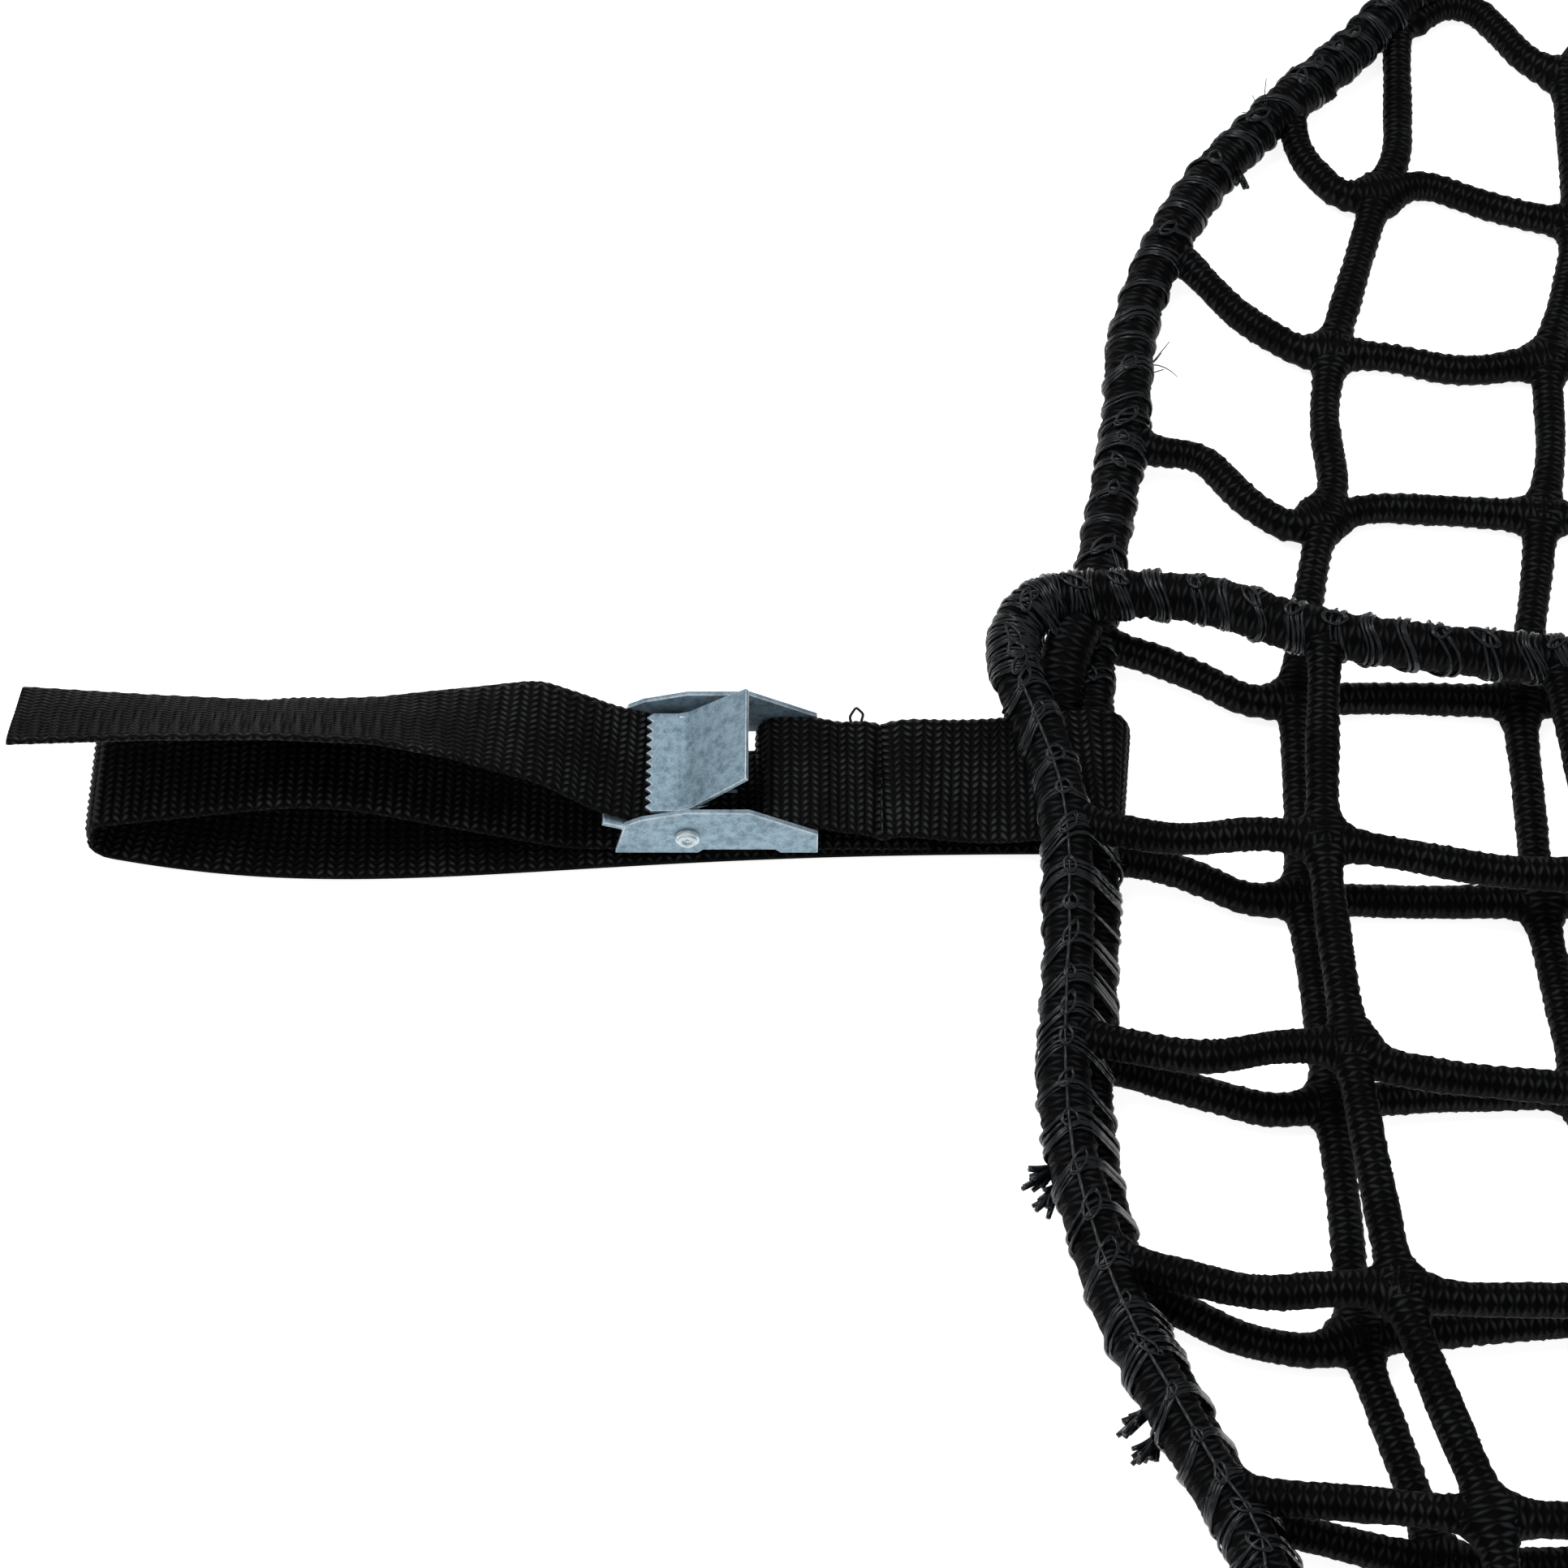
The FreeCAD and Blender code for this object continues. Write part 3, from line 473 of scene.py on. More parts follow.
def half_bend(x, y, low, high, steps=24):
    """The half circle, at one x, in which a cord turns over at the fold from low to high."""
    radius, middle = (high - low) / 2, (high + low) / 2
    turns = [math.pi * k / steps for k in range(steps + 1)]
    return [(x, y - radius * math.sin(t), middle - radius * math.cos(t)) for t in turns]


# ------------------------------------------------------------------ the straps, pointing to -X from the rope
BUCKLE_X = -88.0
FRAME_BACK = BUCKLE_X + 37.2
STITCH_X = FRAME_BACK + 11.8
STITCH_DENT = 0.8
AXLE = (BUCKLE_X + 13.4, FRAME_Z + 4 + WEB_T)
AXLE_D = 2.5
CAM_UP = 3.5
CAM_T = 0.9
COLUMN_L = 1.8
FLOAT_W = 1.5
LOOP_BOW = 5.5
SPRING_TURNS = 7
SPRING_PITCH = 0.62
SPRING_WIRE_R = 0.3
LOOP_L = 179.0
TAIL_L = 131.0
# distances along the webbing: where its sewn end climbs on top and goes down again, and where
# the hand loop starts
CLIMB_FROM, CLIMB_TO = 48.0, 56.0
TOP_FROM, TOP_TO = 100.0, 118.0
LOOP_FROM = 300.0
WEAVE_RELIEF, FAR_WEAVE_RELIEF = 0.2, 0.1
EDGE_WAVE = 0.13
EDGE_ROUNDING = 0.35
# how the free tail rolls and drifts: (local x, roll in degrees, drift in mm)
TAIL_SHAPE = [
    (-196, 30, 0.3), (-172, 36, 0.9), (-150, 39, 1.3), (-131, 35, 2.0), (-116, 23, 2.0), (-101, 5, 1.2),
    (-92, 0, 0.6), (-80, 0, 0),
]
# how the sewn end rolls as it climbs on to the rope: (local x, roll in degrees, lift in mm, drift in mm)
CLIMB_SHAPE = [
    (-50, 0, 0, 0), (-44, 2, 1.6, 0), (-34, 6, 3.0, 0), (-22, 11, 1.4, -0.5), (-8, 15, -0.6, -1.4),
    (6, 9, -0.2, -0.6),
]
# the webbing's way through the strap: (x, z, bend radius)
WEBBING_LINE = [
    (-30, 2.45, 0), (-61.55, 2.45, 3.55), (-61.55, 9.55, 3.55), (-50, 9.35, 8), (-39, 4.45, 12),
    (-20, 5.95, 60),
    (-7, 11.7, 22), (5.55, 11.85, 5.53), (5.55, 0.75, 5.53), (-184.25, 0.75, 4.2), (-184.25, 9.57, 3.78),
    (-141, 17.05, 45), (-97, 2.75, 25), (-71.15, 2.45, 1.45), (-71.15, 5.35, 1.43), (-76.2, 5.35, 2.6),
    (-81.2, 10.25, 4), (-89.5, 13.4, 25), (-102, 21.1, 14), (-128, 22.9, 60), (-196, 26.9, 0),
]


def webbing_line(spacing=0.1):
    """The webbing's middle line in (x, 0, z), with the bend radii of WEBBING_LINE."""
    points = [np.array((x, 0.0, z)) for x, z, _ in WEBBING_LINE]
    out = [points[0]]
    for k in range(1, len(points) - 1):
        run_in, run_out = points[k] - points[k - 1], points[k + 1] - points[k]
        room = 0.499 * min(np.linalg.norm(run_in), np.linalg.norm(run_out))
        run_in, run_out = unit(run_in), unit(run_out)
        turn = math.acos(max(-1, min(1, float(run_in @ run_out))))
        back = min(WEBBING_LINE[k][2] * math.tan(turn / 2), room)
        out += arc_points(out[-1], points[k], run_in, run_out, turn, back, spacing)
    out += line_points(out[-1], points[-1], spacing)
    return np.array(out)


def smooth_step(value, start, end):
    share = np.clip((value - start) / (end - start), 0, 1)
    return share * share * (3 - 2 * share)


def soft(values, where, reach=4.0):
    """Values smoothed over a few mm of the webbing."""
    spread = int(reach / max(0.05, float(np.median(np.diff(where))))) | 1
    padded = np.pad(values, spread, mode="edge")
    return np.convolve(padded, np.ones(spread) / spread, mode="same")[spread:-spread]


def laid_webbing(close):
    """(path, distances, side, up) of the whole strap. Its tail and sewn end roll, as limp webbing does."""
    line = webbing_line()
    tail_from = lengths(line)[-1] - TAIL_L

    def step(path, along):
        if not close:
            return np.full(len(path), COLUMN_L / 2)
        hidden = (along > TOP_TO) & (along < LOOP_FROM)
        return np.where(hidden, COLUMN_L, COLUMN_L / 4)

    path, where = stations(line, step)
    x = path[:, 0]
    in_tail = smooth_step(where, tail_from, tail_from + 30)
    on_top = smooth_step(where, CLIMB_FROM, CLIMB_TO) * (1 - smooth_step(where, TOP_FROM, TOP_TO))
    if close:
        in_loop = (where > TOP_TO) & (where < LOOP_FROM + 40) & (path[:, 2] < 3)
        bow = LOOP_BOW * np.sin(math.pi * np.clip((-x - 5) / LOOP_L, 0, 1) ** 2.3)
        path[:, 1] -= np.where(in_loop, bow, 0)
    at_x, roll, drift = np.array(TAIL_SHAPE, float).T
    twist = np.radians(soft(np.interp(x, at_x, roll), where)) * in_tail
    path[:, 1] += soft(np.interp(x, at_x, drift), where) * in_tail
    at_x, roll, lift, drift = np.array(CLIMB_SHAPE, float).T
    path[:, 1] += soft(np.interp(x, at_x, drift), where) * on_top
    twist += np.radians(soft(np.interp(x, at_x, roll), where)) * on_top
    path[:, 2] += soft(np.interp(x, at_x, lift), where) * on_top
    path[:, 2] -= on_top * STITCH_DENT * np.exp(-(((x - STITCH_X) / 1.1) ** 2))
    side, up = axes_along(path, (0.0, 1.0, 0.0))
    cos, sin = np.cos(twist)[:, None], np.sin(twist)[:, None]
    return path, where, side * cos + up * sin, up * cos - side * sin


def woven_profile(where, close):
    """(profile, u) of the webbing: columns of slanted floats on both faces, and rounded edges."""
    half = int(round(WEB_W / FLOAT_W * (3 if close else 2) / 2))
    lanes = np.linspace(-1, 1, 2 * half + 1)
    edge_wave = EDGE_WAVE * np.cos(2 * math.pi * where / COLUMN_L)
    across = lanes[None, :] * (WEB_W / 2 - EDGE_ROUNDING + edge_wave[:, None])
    relief = WEAVE_RELIEF if close else FAR_WEAVE_RELIEF
    column = np.floor(where / COLUMN_L)
    place_in = where / COLUMN_L - column - 0.5
    slant = np.where(column % 2, 1, -1) * 0.7
    rounds = 1 - 0.9 * np.abs(2 * place_in) ** 3
    thin = 0.45 + 0.55 * np.sqrt(np.clip(1 - np.abs(lanes[None, :]) ** 14, 0, 1))

    def face(shift):
        cells = across / FLOAT_W + (slant * place_in)[:, None] + shift
        bump = np.cos(2 * math.pi * cells) * 0.5 + 0.5
        return (WEB_T / 2 + relief * (2 * bump * rounds[:, None] - 1)) * thin

    rim = (WEB_W / 2 + edge_wave)[:, None]
    high_side = np.stack([across[:, ::-1], face(0.25)[:, ::-1]], axis=-1)
    low_side = np.stack([across, -face(0.0)], axis=-1)
    left = np.stack([-rim, np.zeros_like(rim)], axis=-1)
    right = np.stack([rim, np.zeros_like(rim)], axis=-1)
    lane_uv = (lanes + 1) / 2 * WEB_W / FLOAT_W
    around = np.concatenate([[lane_uv[-1] + 0.3], lane_uv[::-1], [-0.3], lane_uv, [lane_uv[-1] + 0.3]])
    return np.concatenate([right, high_side, left, low_side], axis=1), around


def webbing_shell(shell, place, turned, close):
    """The whole strap: sewn end, loop round the rope, hand loop, cam and free tail, as one woven band."""
    path, where, side, up = laid_webbing(close)
    profile, around = woven_profile(where, close)
    flip = np.array((-1, -1, 1) if turned else (1, 1, 1))
    shell.sweep(path * flip + place, (side * flip, up * flip), profile, around, where / COLUMN_L)


def strap_place(name):
    """(place of the rope's axis at the strap's middle in layout mm, turned) of a strap."""
    low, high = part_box("strap_%s_webbing" % name)
    turned = name.endswith("right")
    x = low[0] / MM + LOOP_OUTSIDE if turned else high[0] / MM - LOOP_OUTSIDE
    return np.array((x, (low[1] + high[1]) / 2 / MM, 0.0)) - ORIGIN, turned


# ------------------------------------------------------------------ finishes
FULL_TURN = 6.283
STRAND_SLANT = 0.7
FILAMENT_DEPTH = 0.09


def linear(code):
    """A colour written as sRGB hex, as the linear values that Blender's sockets take."""
    channels = [int(code[k:k + 2], 16) / 255 for k in (1, 3, 5)]
    return [c / 12.92 if c <= 0.04045 else ((c + 0.055) / 1.055) ** 2.4 for c in channels] + [1.0]


def per_metre(size):
    """The Scale of a pattern whose cells are that many mm across."""
    return 1 / (size * MM)


def add_node(tree, kind, inputs=(), stops=(), **settings):
    """Adds a shader node. Each input is a value, or the node or socket that it is linked from."""
    node = tree.nodes.new("ShaderNode" + kind)
    for key, value in settings.items():
        setattr(node, key, value)
    for key, value in inputs.items() if isinstance(inputs, dict) else enumerate(inputs):
        if isinstance(value, bpy.types.Node):
            value = value.outputs[0]
        if isinstance(value, bpy.types.NodeSocket):
            tree.links.new(value, node.inputs[key])
        else:
            node.inputs[key].default_value = value
    while len(stops) > 2 and len(node.color_ramp.elements) < len(stops):
        node.color_ramp.elements.new(0.5)
    for element, (at, code) in zip(node.color_ramp.elements if stops else (), stops):
        element.position = at
        element.color = linear(code)
    return node


def new_material(name):
    material = bpy.data.materials.new(name)
    material.use_nodes = True
    tree = material.node_tree
    shader = next(n for n in tree.nodes if n.type == "BSDF_PRINCIPLED")
    return material, tree, shader


def woven_material(name, dark, light, wear_and_highlight, checkered, filaments, roughness, bump_mm, shine):
    """A near black synthetic weave, dull, with painted highlight on the crowns of its strands and painted
    shade in the gaps between them.

    Real filaments are too fine to show, so each strand is drawn with as few and as coarse
    ones as the render can show.
    """
    material, tree, shader = new_material(name)
    uv = add_node(tree, "UVMap", uv_map="weave")
    split = add_node(tree, "SeparateXYZ", (uv,))
    u, v = split.outputs["X"], split.outputs["Y"]
    row = add_node(tree, "Math", (v,), operation="FLOOR")
    in_row = add_node(tree, "Math", (v, row), operation="SUBTRACT")
    along = add_node(tree, "Math", (in_row, 0.5), operation="SUBTRACT")
    column = add_node(tree, "Math", (u,), operation="FLOOR") if checkered else 0.0
    parity = add_node(tree, "Math", (row, column), operation="ADD")
    odd = add_node(tree, "Math", (parity, 2.0), operation="FLOORED_MODULO")
    sign = add_node(tree, "Math", (odd, 2.0, -1.0), operation="MULTIPLY_ADD")
    slant = add_node(tree, "Math", (sign, STRAND_SLANT), operation="MULTIPLY")
    lean = add_node(tree, "Math", (slant, along), operation="MULTIPLY")
    # a braid's cells lean each by itself, and a webbing's floats lean all across
    start = add_node(tree, "Math", (u, 0.0 if checkered else lean), operation="ADD")
    cell = add_node(tree, "Math", (start,), operation="FLOOR")
    in_cell = add_node(tree, "Math", (start, cell), operation="SUBTRACT")
    centred = add_node(tree, "Math", (in_cell, 0.5), operation="SUBTRACT")
    across = add_node(tree, "Math", (centred, lean if checkered else 0.0), operation="ADD")
    across_2 = add_node(tree, "Math", (across, across), operation="MULTIPLY")
    dome = add_node(tree, "Math", (across_2, -4.0, 1.0), operation="MULTIPLY_ADD")
    along_2 = add_node(tree, "Math", (along, along), operation="MULTIPLY")
    ends = add_node(tree, "Math", (along_2, -3.6, 1.0), operation="MULTIPLY_ADD")
    rounded_cell = add_node(tree, "Math", (dome, ends), operation="MULTIPLY")
    height = add_node(tree, "Math", (rounded_cell, 0.0), operation="MAXIMUM")
    turns = add_node(tree, "Math", (across, filaments * FULL_TURN), operation="MULTIPLY")
    fibre = add_node(tree, "Math", (turns,), operation="SINE")
    surface = add_node(tree, "Math", (fibre, FILAMENT_DEPTH, height), operation="MULTIPLY_ADD")
    place = add_node(tree, "TexCoord").outputs["Object"]
    patches = add_node(tree, "TexNoise", {"Vector": place, "Scale": per_metre(8.333), "Detail": 3.0})
    # painted highlight and painted shade: the strand's height lightens the colour on its crowns and darkens
    # it in the gaps, on top of random patches
    painted_crown_light = add_node(tree, "Math", (height, 0.6), operation="MULTIPLY")
    shade = add_node(tree, "Math", (patches.outputs["Fac"], 0.5, painted_crown_light), operation="MULTIPLY_ADD")
    colour = add_node(tree, "ValToRGB", (shade,), stops=[(0.42, dark), (0.7, light), (0.86, wear_and_highlight)])
    tree.links.new(colour.outputs["Color"], shader.inputs["Base Color"])
    bump = add_node(tree, "Bump", {"Height": surface, "Strength": 1.0, "Distance": bump_mm * MM})
    tree.links.new(bump.outputs["Normal"], shader.inputs["Normal"])
    shader.inputs["Roughness"].default_value = roughness
    shader.inputs["Specular IOR Level"].default_value = shine
    return material


def twine_material(name, dark, light):
    """Multifilament twine: parallel filaments that catch a soft light, drawn coarse enough to show."""
    material, tree, shader = new_material(name)
    uv = add_node(tree, "UVMap", uv_map="weave")
    split = add_node(tree, "SeparateXYZ", (uv,))
    round_it = add_node(tree, "Math", (split.outputs["X"], 3.0), operation="MULTIPLY")
    twist = add_node(tree, "Math", (split.outputs["Y"], 0.35, round_it), operation="MULTIPLY_ADD")
    turns = add_node(tree, "Math", (twist, FULL_TURN), operation="MULTIPLY")
    wave = add_node(tree, "Math", (turns,), operation="SINE")
    lines = add_node(tree, "Math", (wave, 0.5, 0.5), operation="MULTIPLY_ADD")
    place = add_node(tree, "TexCoord").outputs["Object"]
    patches = add_node(tree, "TexNoise", {"Vector": place, "Scale": per_metre(2.857), "Detail": 4.0})
    wax = add_node(tree, "Math", (patches.outputs["Fac"], 0.75), operation="MULTIPLY")
    shade = add_node(tree, "Math", (lines, 0.35, wax), operation="MULTIPLY_ADD")
    colour = add_node(tree, "ValToRGB", (shade,), stops=[(0.2, dark), (0.8, light)])
    tree.links.new(colour.outputs["Color"], shader.inputs["Base Color"])
    bump = add_node(tree, "Bump", {"Height": lines, "Strength": 0.8, "Distance": 0.06 * MM})
    tree.links.new(bump.outputs["Normal"], shader.inputs["Normal"])
    shader.inputs["Roughness"].default_value = 0.3
    shader.inputs["Specular IOR Level"].default_value = 0.4
    return material


def zinc_material(name, dark, light, roughness):
    """Zinc plated pressed steel with a clear blue passivate: dull, mottled and faintly blue."""
    material, tree, shader = new_material(name)
    place = add_node(tree, "TexCoord").outputs["Object"]
    blotches = {"Vector": place, "Scale": per_metre(2.381), "Detail": 6.0, "Roughness": 0.75}
    coarse = add_node(tree, "TexNoise", blotches).outputs["Fac"]
    grain = {"Vector": place, "Scale": per_metre(0.38462), "Detail": 3.0}
    fine = add_node(tree, "TexNoise", grain).outputs["Fac"]
    spots = add_node(tree, "TexVoronoi", {"Vector": place, "Scale": per_metre(1.4286)}).outputs["Distance"]
    cloudy = add_node(tree, "Math", (coarse, 0.6), operation="MULTIPLY")
    grainy = add_node(tree, "Math", (fine, 0.3, cloudy), operation="MULTIPLY_ADD")
    mix = add_node(tree, "Math", (spots, 0.12, grainy), operation="MULTIPLY_ADD")
    colour = add_node(tree, "ValToRGB", (mix,), stops=[(0.4, dark), (0.58, light)])
    tree.links.new(colour.outputs["Color"], shader.inputs["Base Color"])
    rough = add_node(tree, "Math", (coarse, 0.25, roughness - 0.1), operation="MULTIPLY_ADD")
    tree.links.new(rough.outputs[0], shader.inputs["Roughness"])
    bump = add_node(tree, "Bump", {"Height": mix, "Strength": 0.5, "Distance": 0.08 * MM})
    tree.links.new(bump.outputs["Normal"], shader.inputs["Normal"])
    shader.inputs["Metallic"].default_value = 0.4
    return material


def finish(name):
    """The material of that name, made when it is first asked for."""
    if name in bpy.data.materials:
        return bpy.data.materials[name]
    colours = bpy.context.scene.cargo_net_finish
    # braided polypropylene: dull and near black, with painted highlight on its strands and painted shade in
    # the gaps between them
    if name == "braided_polypropylene":
        return woven_material(
            name, colours.cord_dark, colours.cord_light, "#292b2d", True, 3, 0.6, 0.2, 0.05)
    # the rope's braid: the same painted highlight on its strands and painted shade between them
    if name == "braided_rope_polypropylene":
        return woven_material(
            name, colours.cord_dark, colours.cord_light, "#26292c", True, 4, 0.6, 0.24, 0.06)
    # woven polypropylene webbing: slightly smoother floats, with painted highlight on them as small grey
    # grains in rows and painted shade between them
    if name == "woven_polypropylene_webbing":
        return woven_material(
            name, colours.webbing_dark, colours.webbing_light, "#3a3c3e", False, 3, 0.55, 0.3, 0.08)
    # waxed twine: smooth filaments with a bluish gleam
    if name == "waxed_multifilament_twine":
        return twine_material(name, colours.twine_dark, colours.twine_light)
    # bonded sewing thread: the same filaments without the wax's blue
    if name == "bonded_sewing_thread":
        return twine_material(name, "#0c0d0e", "#1e2023")
    # zinc plate under a blue passivate: pale blue grey, mottled by handling
    if name == "blue_passivated_zinc":
        return zinc_material(name, colours.zinc_dark, colours.zinc_light, 0.55)
    # the same plate, made brighter on edges and rivet heads: painted highlight along with rubbed wear
    if name == "highlit_worn_zinc_edge":
        return zinc_material(name, "#a9bcc6", "#dde6ea", 0.4)
    # drawn spring wire: darker and smoother than the plate
    if name == "drawn_spring_wire":
        return zinc_material(name, "#4d565b", "#757f86", 0.4)
    raise RuntimeError("no finish is called " + name)


# ------------------------------------------------------------------ settings that a user would change
class CARGO_NET_PG_net(bpy.types.PropertyGroup):
    """Sizes of the cords, the ropes and their lashing."""

    relief: bpy.props.FloatProperty(
        name="Braid relief", description="How far the braid's strands stand out, as a share of the radius",
        default=0.05, min=0, max=0.2, subtype="FACTOR")
    fine_step: bpy.props.FloatProperty(
        name="Ring spacing", description="Spacing of a cord's rings where it is seen close up",
        default=0.00052, min=0.0002, unit="LENGTH", precision=5)
    coarse_step: bpy.props.FloatProperty(
        name="Far ring spacing", description="Spacing of a cord's rings elsewhere",
        default=0.0022, min=0.0005, unit="LENGTH", precision=5)
    wrap_pitch: bpy.props.FloatProperty(
        name="Wrap pitch", description="Distance between the lashing's wraps along the rope",
        default=0.009, min=0.004, unit="LENGTH", precision=4)
    twine_radius: bpy.props.FloatProperty(
        name="Twine strand radius", description="Radius of one strand of the lashing twine",
        default=0.00034, min=0.0001, unit="LENGTH", precision=5)


class CARGO_NET_PG_finish(bpy.types.PropertyGroup):
    """Colours of the finishes, as sRGB hex."""

    # for cords and webbing the low colour is painted shade in the gaps and the high colour is painted
    # highlight on the strands
    cord_dark: bpy.props.StringProperty(
        name="Cord, low", description="Colour between the strands", default="#020203")
    cord_light: bpy.props.StringProperty(
        name="Cord, high", description="Colour of the strands", default="#111213")
    webbing_dark: bpy.props.StringProperty(
        name="Webbing, low", description="Colour between floats", default="#020202")
    webbing_light: bpy.props.StringProperty(
        name="Webbing, high", description="Colour of the floats", default="#141516")
    twine_dark: bpy.props.StringProperty(
        name="Twine, low", description="Colour between filaments", default="#040608")
    twine_light: bpy.props.StringProperty(
        name="Twine, high", description="Colour of the filaments", default="#181d23")
    zinc_dark: bpy.props.StringProperty(
        name="Zinc, low", description="Darker patches of zinc", default="#67808f")
    zinc_light: bpy.props.StringProperty(
        name="Zinc, high", description="Lighter patches of zinc", default="#98b0bf")


class CARGO_NET_PG_stage(bpy.types.PropertyGroup):
    """Floor, light and camera."""

    key_power: bpy.props.FloatProperty(
        name="Key light", description="Power of the overhead soft light", default=7.0, unit="POWER")
    world_strength: bpy.props.FloatProperty(
        name="Room light", description="Strength of the white room", default=0.35)
    floor_glow: bpy.props.FloatProperty(
        name="Floor glow", description="How far the pale floor lights itself", default=0.85)
    distance: bpy.props.FloatProperty(
        name="Camera distance", description="From the camera to what it looks at", default=0.753,
        unit="LENGTH")
    elevation: bpy.props.FloatProperty(
        name="Camera elevation", description="Angle above the floor", default=math.radians(55),
        subtype="ANGLE")
    field: bpy.props.FloatProperty(
        name="Field of view", description="Angle that the picture takes in", default=math.radians(22),
        subtype="ANGLE")


# ------------------------------------------------------------------ operators
class CARGO_NET_OT_rows(bpy.types.Operator):
    """Braided row cords of both layers"""

    bl_idname = "cargo_net.rows"
    bl_label = "Row cords"

    def execute(self, context):
        build_cords(context, "row")
        return {"FINISHED"}


class CARGO_NET_OT_columns(bpy.types.Operator):
    """Braided column cords of both layers, and their bends at the fold"""

    bl_idname = "cargo_net.columns"
    bl_label = "Column cords"

    def execute(self, context):
        build_cords(context, "column")
        return {"FINISHED"}


class CARGO_NET_OT_ropes(bpy.types.Operator):
    """Border ropes round both layers"""

    bl_idname = "cargo_net.ropes"
    bl_label = "Border ropes"

    def execute(self, context):
        build_ropes(context)
        return {"FINISHED"}


class CARGO_NET_OT_lashing(bpy.types.Operator):
    """Twine that lashes the net to its border ropes"""

    bl_idname = "cargo_net.lashing"
    bl_label = "Lashing"

    def execute(self, context):
        build_lashing(context)
        return {"FINISHED"}


class CARGO_NET_OT_webbing(bpy.types.Operator):
    """Woven straps with their stitching"""

    bl_idname = "cargo_net.webbing"
    bl_label = "Webbing straps"

    def execute(self, context):
        build_webbing(context)
        return {"FINISHED"}


class CARGO_NET_OT_buckles(bpy.types.Operator):
    """Cam buckles: frames, levers, rivets and springs"""

    bl_idname = "cargo_net.buckles"
    bl_label = "Cam buckles"

    def execute(self, context):
        build_buckles(context)
        return {"FINISHED"}


class CARGO_NET_OT_stage(bpy.types.Operator):
    """Pale floor, soft light and the camera"""

    bl_idname = "cargo_net.stage"
    bl_label = "Stage"

    def execute(self, context):
        build_stage(context)
        return {"FINISHED"}


class CARGO_NET_PT_panel(bpy.types.Panel):
    """Lists the steps and settings in the sidebar"""

    bl_idname = "CARGO_NET_PT_panel"
    bl_label = "Cargo climbing net"
    bl_space_type = "VIEW_3D"
    bl_region_type = "UI"
    bl_category = "Cargo Net"

    def draw(self, context):
        layout = self.layout
        for operator in OPERATORS:
            layout.operator(operator.bl_idname)
        for group in ("cargo_net_net", "cargo_net_finish", "cargo_net_stage"):
            settings = getattr(context.scene, group)
            box = layout.box()
            for key in settings.__annotations__:
                box.prop(settings, key)


# ------------------------------------------------------------------ building
def build_cords(context, kind):
    settings = context.scene.cargo_net_net
    steps = {"fine": settings.fine_step / MM, "coarse": settings.coarse_step / MM, "relief": settings.relief}
    material = finish("braided_polypropylene")
    for layer, word in enumerate(("lower", "upper")):
        shell = Shell()
        numbers = (UPPER_ROWS if layer else LOWER_ROWS) if kind == "row" else range(COLUMNS)
        for number in numbers:
            points, knots = row_route(layer, number) if kind == "row" else column_route(layer, number)
            if kind == "row":
                bends = {k: run for (at, row, k), run in SLACK_RUNS.items() if (at, row) == (layer, number)}
            else:
                runs = COLUMN_RUNS.items()
                bends = {
                    row - LOWER_ROWS[0] + 1: run
                    for (at, i, row), run in runs if (at, i) == (layer, number)}
            route = rounded(slack(points, 900 * layer + 7 * number + (5 if kind == "row" else 0), bends))
            ends = [p for p in (points[0], points[-1]) if p not in knots]
            seed = 50 * layer + number + (1000 if kind == "row" else 0)
            braid(shell, route, CORD_R, knots + ends, seed=seed,
                  **steps)
        node = "%s_cords_%s" % (kind, word)
        shell.build("net_" + node, material, nodes=[node])
    if kind == "column":
        shell = Shell()
        for number in range(COLUMNS):
            bend = half_bend(column_x(number, FOLD_Y), FOLD_Y, LOWER_Z, upper_z(column_x(number, 0)))
            braid(shell, np.array(bend), CORD_R, seed=300 + number, side=(1.0, 0.0, 0.0), **steps)
        shell.build("net_fold_cords", material, nodes=["column_cords_fold"])


def build_ropes(context):
    settings = context.scene.cargo_net_net
    material = finish("braided_rope_polypropylene")
    routes = {
        "border_rope_lower_left": [LOWER_LEFT],
        "border_rope_lower_right": [LOWER_RIGHT],
        "border_rope_upper_left": [UPPER_LEFT],
        "border_rope_upper_right": [UPPER_RIGHT],
        "border_rope_far": [FAR_ROUTE],
        "border_rope_near": [NEAR_ROUTE, TUCKED_END],
    }
    for number, (node, group) in enumerate(routes.items()):
        shell = Shell()
        for route in group:
            braid(shell, rounded(route), ROPE_R, fine=0.65, coarse=2.6, corners=24,
                  relief=settings.relief * 0.8,
                  seed=700 + number)
        shell.build(node + "_braid", material, nodes=[node])
    shell = Shell()
    for x in (LOWER_LEFT[0][0], RIGHT_ROPE_X):
        bend = half_bend(x, FOLD_Y, ROPE_Z, FOLD_TOP_Z)
        braid(shell, np.array(bend), ROPE_R, fine=0.8, coarse=1.0, corners=24, side=(1.0, 0.0, 0.0), seed=720)
    shell.build("border_rope_folds_braid", material, nodes=["border_rope_folds"])


STRAY_SHARE = 0.1
STRAY_REACH = 2.5
HITCH_SHARE = 0.5


